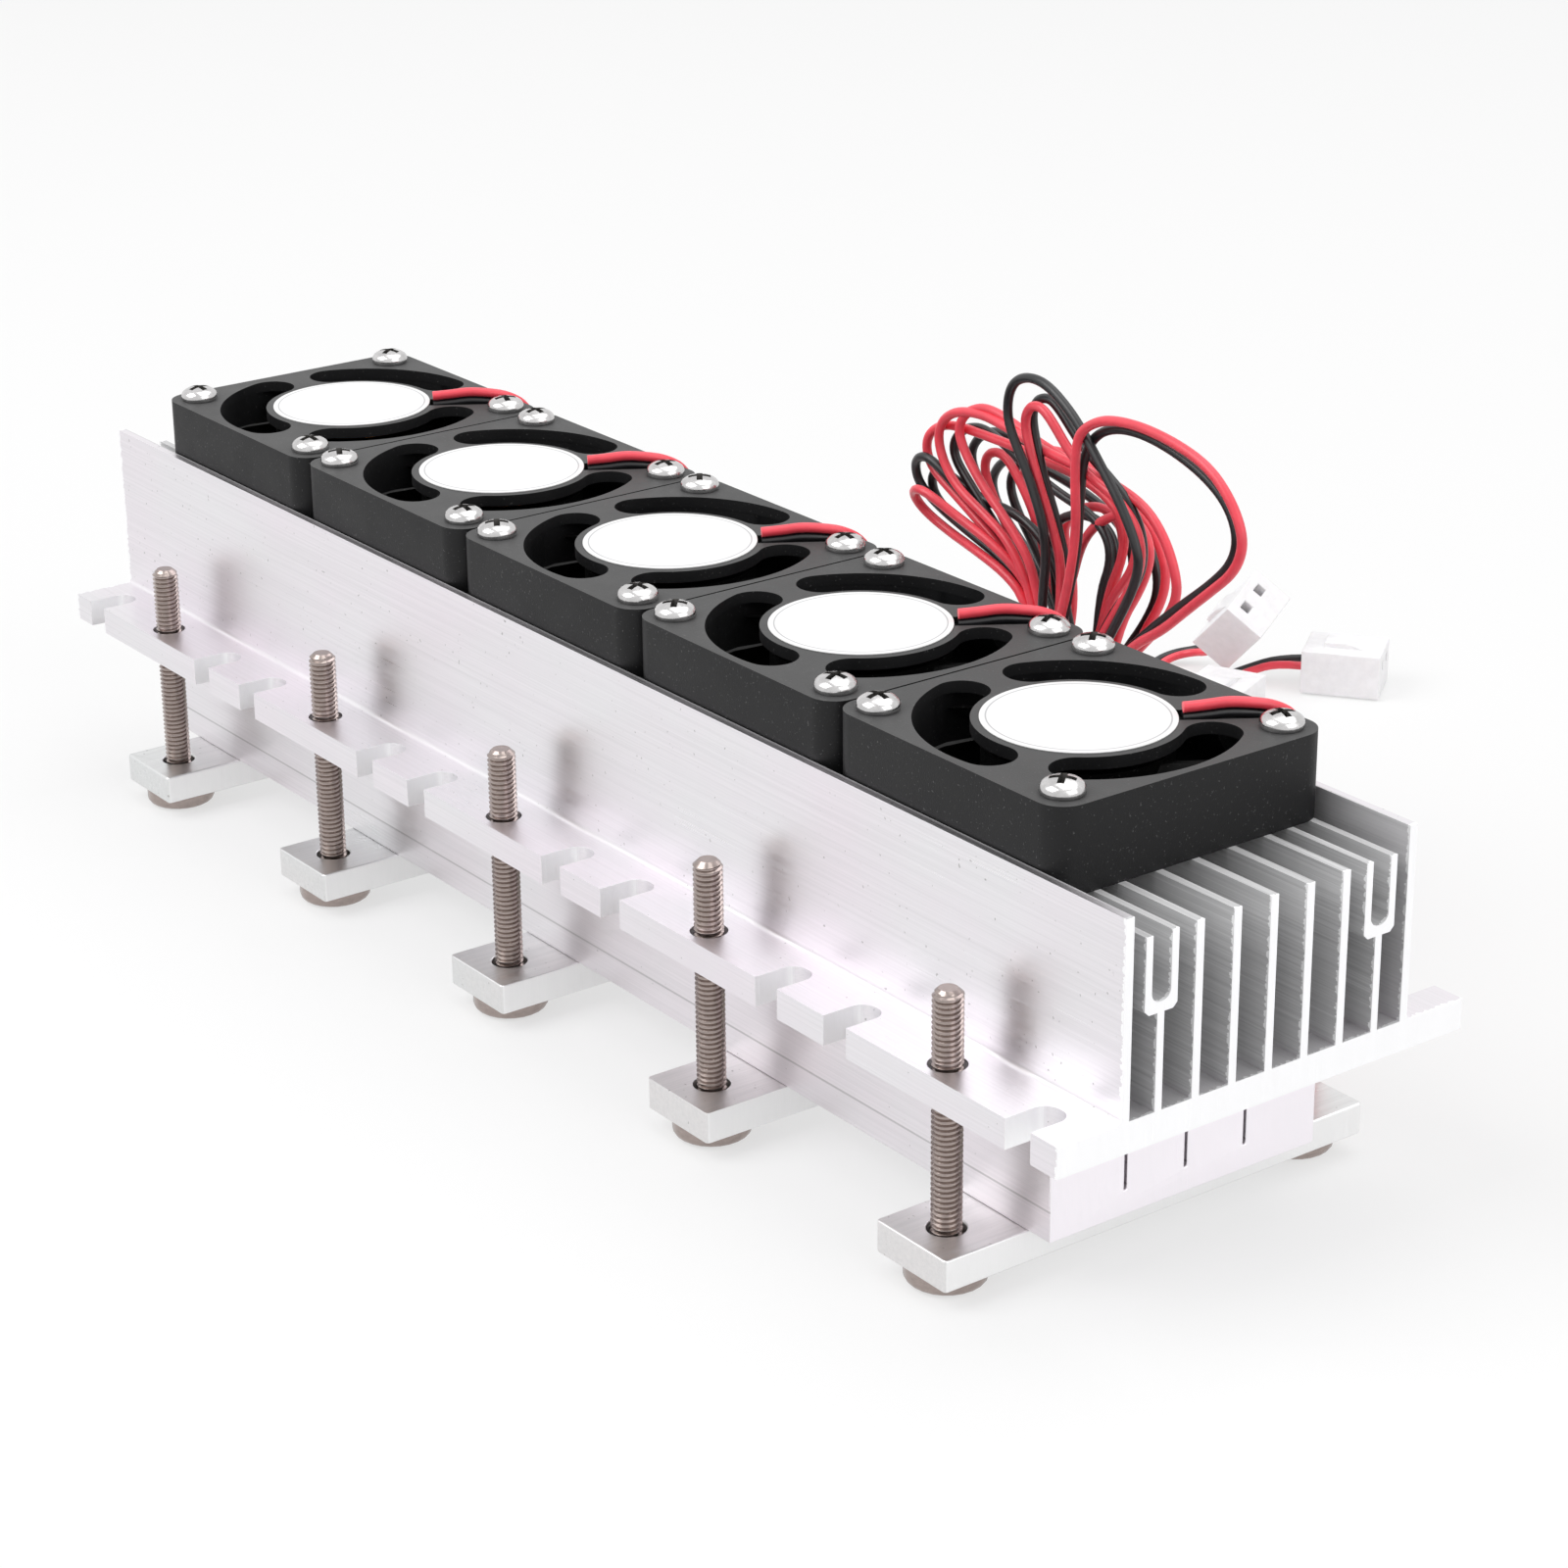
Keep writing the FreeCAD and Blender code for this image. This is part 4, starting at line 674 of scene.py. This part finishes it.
# where each core straightens and where it ends in its connector, red first
contactEnds = {
    1: (((-0.02612, 0.13436, 0.00360), (-0.02124, 0.13702, 0.00360)),
        ((-0.02768, 0.13644, 0.00360), (-0.02376, 0.14038, 0.00360))),
    2: (((-0.03699, 0.12927, 0.00327), (-0.03276, 0.12801, 0.00665)),
        ((-0.03766, 0.13154, 0.00434), (-0.03384, 0.13168, 0.00838))),
    3: (((-0.01321, 0.10585, 0.00360), (-0.01467, 0.11121, 0.00360)),
        ((-0.01560, 0.10481, 0.00360), (-0.01852, 0.10954, 0.00360))),
    4: (((-0.01773, 0.06165, 0.00360), (-0.02235, 0.06474, 0.00360)),
        ((-0.01885, 0.05930, 0.00360), (-0.02416, 0.06095, 0.00360))),
    5: (((-0.01322, 0.07279, 0.00360), (-0.01688, 0.07697, 0.00360)),
        ((-0.01491, 0.07081, 0.00360), (-0.01960, 0.07378, 0.00360))),
}


# moves a core from the pair's middle line to its own side: 90 degrees is red above black
def layBeside(points, twists, side):
    moved = []
    for step, point in enumerate(points):
        before, after = points[max(step - 1, 0)], points[min(step + 1, len(points) - 1)]
        along = (after - before).normalized()
        across = along.cross(up).normalized()
        above = across.cross(along)
        turn = math.radians(twists[step])
        moved.append(point + (across * math.cos(turn) + above * math.sin(turn)) * lead["apart"] * side)
    return moved


def corePoints(number, colour):
    side = 1 if colour == "red" else -1
    middle = fanPitch * (number - 3)
    route = floorRoutes[number]
    out = [Vector((middle + x, y, z)) for x, y, z in overTheEdge] + [Vector(p) for p in route["toHank"]]
    points = layBeside(out, overTwist + [0] * len(route["toHank"]), side)
    for count, (loop, row, upColumn, downColumn) in enumerate(hankPasses[number, colour]):
        depth = neckRows[row]
        if count:
            back = floorTurns[number, colour]
            before = points[-1]
            left, right = lead["turnLeft"], lead["turnRight"]
            points += [Vector((right, (before.y + back) / 2, lead["turnHigh"])),
                       Vector((right, back, lead["turnLow"])), Vector((left, back, lead["turnLow"])),
                       Vector((left, (depth + back) / 2, lead["turnHigh"]))]
        points += [Vector((neckColumns[upColumn], depth, lead["neckLow"])),
                   Vector((neckColumns[upColumn], depth, lead["neckHigh"]))]
        points += [Vector(point) for point in hankLoops[loop]]
        points += [Vector((neckColumns[downColumn], depth, lead["neckHigh"])),
                   Vector((neckColumns[downColumn], depth, lead["neckLow"]))]
    tail = layBeside([Vector(p) for p in route["toPlug"]], [0] * len(route["toPlug"]), side)
    return points + tail + [Vector(p) for p in contactEnds[number][0 if colour == "red" else 1]]


def makeCore(number, colour, finish):
    name = "lead%dCore%s" % (number, colour.capitalize())
    curve = bpy.data.curves.new(name, "CURVE")
    curve.dimensions = "3D"
    line = curve.splines.new("NURBS")
    points = corePoints(number, colour)
    line.points.add(len(points) - 1)
    for spot, point in zip(line.points, points):
        spot.co = (*point, 1)
    line.order_u = 3
    line.use_endpoint_u = True
    curve.resolution_u = lead["steps"]
    curve.bevel_depth = lead["core"] / 2
    curve.bevel_resolution = lead["sides"]
    curve.use_fill_caps = True
    curve.materials.append(finish)
    made = bpy.data.objects.new(name, curve)
    scene.collection.objects.link(made)
    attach(made, "stack")
    return made


# connectors: softened housings that the cores end in
housing = {"edge": 0.00018}
for number in stations:
    softCopy("connector_%d" % number, "connectorHousing%d" % number, nylon, "stack",
                                  "connector_nylon", housing["edge"])


# each core from its hub to its connector along the route above
for number in stations:
    for colour, finish in (("red", redInsulation), ("black", blackInsulation)):
        made = makeCore(number, colour, finish)
        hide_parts("lead_%d" % number, "lead_tail_%d" % number)
        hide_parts("lead_hank")
        start = corePoints(number, colour)[0]


# heatsink, cold block, modules and bars
print("metal stack")
stack = {"finEdge": 0.00012, "blockEdge": 0.00025, "barEdge": 0.00025, "barSteps": 3, "screwRow": 0.0266}
softCopy("heatsink", "heatsinkExtrusion", aluminium, "stack", "extruded_aluminium", stack["finEdge"])
softCopy("cold_block", "coldBlock", blockAluminium, "stack", "extruded_aluminium", stack["blockEdge"])
for number in stations:
    shape = mergedCopy("clamp_bar_%d" % number)
    for across in (-stack["screwRow"], stack["screwRow"]):    # no face is left with a hole in it
        bmesh.ops.bisect_plane(shape, geom=everything(shape), dist=closer["cut"],
                               plane_co=(0, across, 0), plane_no=(0, 1, 0))
    bar = finishMesh(shape, "clampBar%d" % number, barAluminium, sharp=1)
    softenEdges(bar, stack["barEdge"], segments=stack["barSteps"], harden=False)
    settle(bar, "stack", "clamp_bar_%d" % number)
    dress("peltier_module_%d" % number, ceramic)
    dress("stator_%d" % number, winding)
    dress("bearing_sleeve_%d" % number, bronze)


# clamp screws: rolled thread, low round head and hexagon socket
print("screws")
clampScrew = {"crest": 0.00182, "root": 0.00152, "pitch": 0.00064, "steps": 22, "from": 0.0022,
              "tip": 0.0358, "point": 0.0004, "slope": 1.1, "head": 0.0049, "round": 0.001, "seat": 0.0024,
              "across": 0.0014, "rim": 1.35, "socket": 0.0013, "chamfer": 0.0001, "shadeFrom": 0.0003,
              "apart": 0.045, "sides": 24}


def addThread(shape, values):
    pitch, root, crest = values["pitch"], values["root"], values["crest"]
    turns = int((values["tip"] - values["from"]) / pitch) + 3
    # one turn of the thread: radius and share of the pitch
    outline = [(root, 0.0), (root, 0.14), (crest, 0.42), (crest, 0.58), (root, 0.86), (root, 1.0)]
    low = values["from"] - 1.5 * pitch    # it starts early and is cut off level
    verts = [shape.verts.new((radius, 0, low + share * pitch)) for radius, share in outline]
    edges = [shape.edges.new(pair) for pair in zip(verts, verts[1:])]
    bmesh.ops.spin(shape, geom=verts + edges, angle=2 * math.pi * turns, steps=values["steps"] * turns,
                   axis=(0, 0, 1), cent=(0, 0, 0), dvec=(0, 0, pitch / values["steps"]), use_merge=False)
    bmesh.ops.remove_doubles(shape, verts=shape.verts, dist=closer["thread"])
    for level, facing in ((values["from"], -1), (values["tip"], 1)):
        cut = bmesh.ops.bisect_plane(shape, geom=everything(shape), dist=closer["cut"],
                                     plane_co=(0, 0, level), plane_no=(0, 0, facing), clear_outer=True)
        rim = [part for part in cut["geom_cut"] if isinstance(part, bmesh.types.BMEdge)]
        bmesh.ops.edgeloop_fill(shape, edges=rim)
    for vert in shape.verts:    # the screw's point
        reach = math.hypot(vert.co.x, vert.co.y)
        limit = root - values["point"] + (values["tip"] - vert.co.z) * values["slope"]
        if reach > limit:
            vert.co.x *= limit / reach
            vert.co.y *= limit / reach


def addClampHead(shape, values):
    head, bend, across, seat = values["head"], values["round"], values["across"], values["seat"]
    chamfer, socket = values["chamfer"], values["socket"]
    turns = [step * math.pi / 8 for step in range(5)]
    arc = [(head - bend + bend * math.sin(turn), bend - bend * math.cos(turn)) for turn in turns]
    rest = [(head, seat - chamfer), (head - chamfer, seat), (0, seat)]
    turnProfile(shape, [(across * values["rim"], 0)] + arc + rest, values["sides"])
    rim = boundaryOf(shape)
    bmesh.ops.create_circle(shape, segments=6, radius=across / math.cos(math.pi / 6),
                            matrix=Matrix.Translation((0, 0, chamfer)))
    hexagon = [edge for edge in shape.edges if edge.is_wire]
    bmesh.ops.bridge_loops(shape, edges=rim + hexagon)
    walls = bmesh.ops.extrude_edge_only(shape, edges=hexagon)["geom"]
    bmesh.ops.translate(shape, verts=vertsIn(walls), vec=(0, 0, socket - chamfer))
    bmesh.ops.holes_fill(shape, edges=boundaryOf(shape), sides=6)
    shadeRecess(shape, across, lambda middle: values["shadeFrom"] < middle.z < socket + chamfer)


shape = bmesh.new()
addThread(shape, clampScrew)
addClampHead(shape, clampScrew)
places = [(clampScrew["apart"] * (number - 3), stack["screwRow"] * side, 0)
          for number in stations for side in (-1, 1)]
shape = scatterPattern(shape, places, 2 * math.pi)
clampScrews = finishMesh(shape, "clampScrews", clampSteel, recessShade, sharp=28)
settle(clampScrews, "stack", "clamp_screws")


# fan screws: pan heads with a cross recess
fanScrew = {"head": 0.0026, "height": 0.0019, "edge": 0.0006, "wing": 0.00150, "groove": 0.00040,
            "deep": 0.0009, "shank": 0.00125, "length": 0.0160, "point": 0.0012, "seat": 0.0579,
            "offset": 0.016, "foot": 0.0002, "under": 0.95, "taper": 0.8, "shadeFrom": 0.0001,
            "sides": 24}


def addFanScrew(shape, values):
    head, seat, wing = values["head"], values["seat"], values["wing"]
    crown = values["height"] - values["edge"]
    low = seat - values["length"]

    def dome(reach):
        return seat + values["edge"] + crown * math.sqrt(max(0.0, 1 - (reach / head) ** 2))

    profile = [(head * share, dome(head * share)) for share in (0.66, 0.78, 0.88, 0.96, 1.0)]
    profile += [(head, seat + values["foot"]), (head * values["under"], seat), (values["shank"], seat),
                (values["shank"], low + values["point"]), (0, low)]
    turnProfile(shape, profile, values["sides"])
    rim = boundaryOf(shape)
    cross = bmesh.ops.create_grid(shape, x_segments=3, y_segments=3, size=wing)["verts"]
    faces = {face for vert in cross for face in vert.link_faces}
    corners = [face for face in faces if min(abs(c) for c in face.calc_center_median().xy) > wing / 2]
    bmesh.ops.delete(shape, geom=corners, context="FACES")
    outline = [edge for edge in boundaryOf(shape) if edge not in rim]
    bmesh.ops.subdivide_edges(shape, edges=outline, cuts=1)
    # the cross is still level at zero, and is lifted onto the dome
    faces = [face for face in shape.faces if not any(vert.co.z for vert in face.verts)]
    for vert in {vert for face in faces for vert in face.verts}:
        for axis in (0, 1):    # the grid's inner lines become the groove's sides
            if 0.1 * wing < abs(vert.co[axis]) < 0.5 * wing:
                vert.co[axis] = math.copysign(values["groove"], vert.co[axis])
        vert.co.z = dome(vert.co.xy.length)
    outline = [edge for edge in boundaryOf(shape) if edge not in rim]
    bmesh.ops.bridge_loops(shape, edges=rim + outline)
    sunk = vertsIn(bmesh.ops.extrude_face_region(shape, geom=faces)["geom"])
    bmesh.ops.delete(shape, geom=[face for face in faces if face.is_valid], context="FACES")
    bmesh.ops.scale(shape, verts=sunk, vec=(values["taper"], values["taper"], 1))
    bmesh.ops.translate(shape, verts=sunk, vec=(0, 0, -values["deep"]))
    shadeRecess(shape, wing,
                lambda middle: seat < middle.z < dome(middle.xy.length) - values["shadeFrom"])


shape = bmesh.new()
addFanScrew(shape, fanScrew)
places = [(fanPitch * (number - 3) + fanScrew["offset"] * sideX, fanScrew["offset"] * sideY, 0)
          for number in stations for sideX in (-1, 1) for sideY in (-1, 1)]
shape = scatterPattern(shape, places, math.pi / 2)
fanScrews = finishMesh(shape, "fanScrews", plating, recessShade, sharp=34)
settle(fanScrews, "stack", "fan_screws")


# wire tie: a flat coated strip, once round the hank's neck and twisted behind it
print("tie")
tie = {"halfX": 0.0029, "halfY": 0.0069, "middle": (0.0250, 0.0480), "low": 0.0246, "high": 0.0274,
       "thick": 0.0004, "ringSteps": 48, "tail": 0.0075, "tailSteps": 50, "leaning": (0.35, 1.0, -0.5),
       "twists": 2.5, "half": 0.0010, "apart": 0.0005}


def addTieRing(shape, values):
    inner, outer = values["halfY"], values["halfY"] + values["thick"]
    low, high = values["low"], values["high"]
    turnProfile(shape, [(inner, low), (outer, low), (outer, high), (inner, high), (inner, low)],
                values["ringSteps"])
    bmesh.ops.scale(shape, verts=shape.verts, vec=(values["halfX"] / values["halfY"], 1, 1))
    bmesh.ops.translate(shape, verts=shape.verts, vec=(*values["middle"], 0))


def addTieTail(shape, values, side):
    x, y = values["middle"]
    start = Vector((x, y + values["halfY"], (values["low"] + values["high"]) / 2))
    along = Vector(values["leaning"]).normalized()
    away = along.cross(up).normalized() * side
    across = along.cross(away)
    verts = []
    for wide, thick in ((-1, 0), (1, 0), (1, 1), (-1, 1)):
        corner = start + away * (values["apart"] + values["thick"] * thick) + across * values["half"] * wide
        verts.append(shape.verts.new(corner))
    edges = [shape.edges.new((verts[step], verts[(step + 1) % 4])) for step in range(4)]
    steps = values["tailSteps"]
    bmesh.ops.spin(shape, geom=verts + edges, angle=2 * math.pi * values["twists"], steps=steps, axis=along,
                   cent=start, dvec=along * values["tail"] / steps)


shape = bmesh.new()
addTieRing(shape, tie)
for side in (-1, 1):
    addTieTail(shape, tie, side)
bmesh.ops.holes_fill(shape, edges=boundaryOf(shape), sides=4)
bmesh.ops.recalc_face_normals(shape, faces=shape.faces)
wireTie = finishMesh(shape, "wireTie", tieCoat)
settle(wireTie, "stack", "lead_tie")


# fans
print("fans")
fan = {"frameEdge": 0.0002, "wheelEdge": 0.00012, "labelEdge": 0.00005}
for number in stations:
    softCopy("fan_frame_%d" % number, "fanFrame%d" % number, framePlastic, "stack", "fan_plastic",
             fan["frameEdge"])
    softCopy("impeller_%d" % number, "impellerWheel%d" % number, rotorPlastic, "rotor_%d" % number,
             "impeller_plastic", fan["wheelEdge"])
    softCopy("fan_label_%d" % number, "fanLabel%d" % number, labelFilm, "stack", "label_film",
             fan["labelEdge"])

# the last line
print("done")
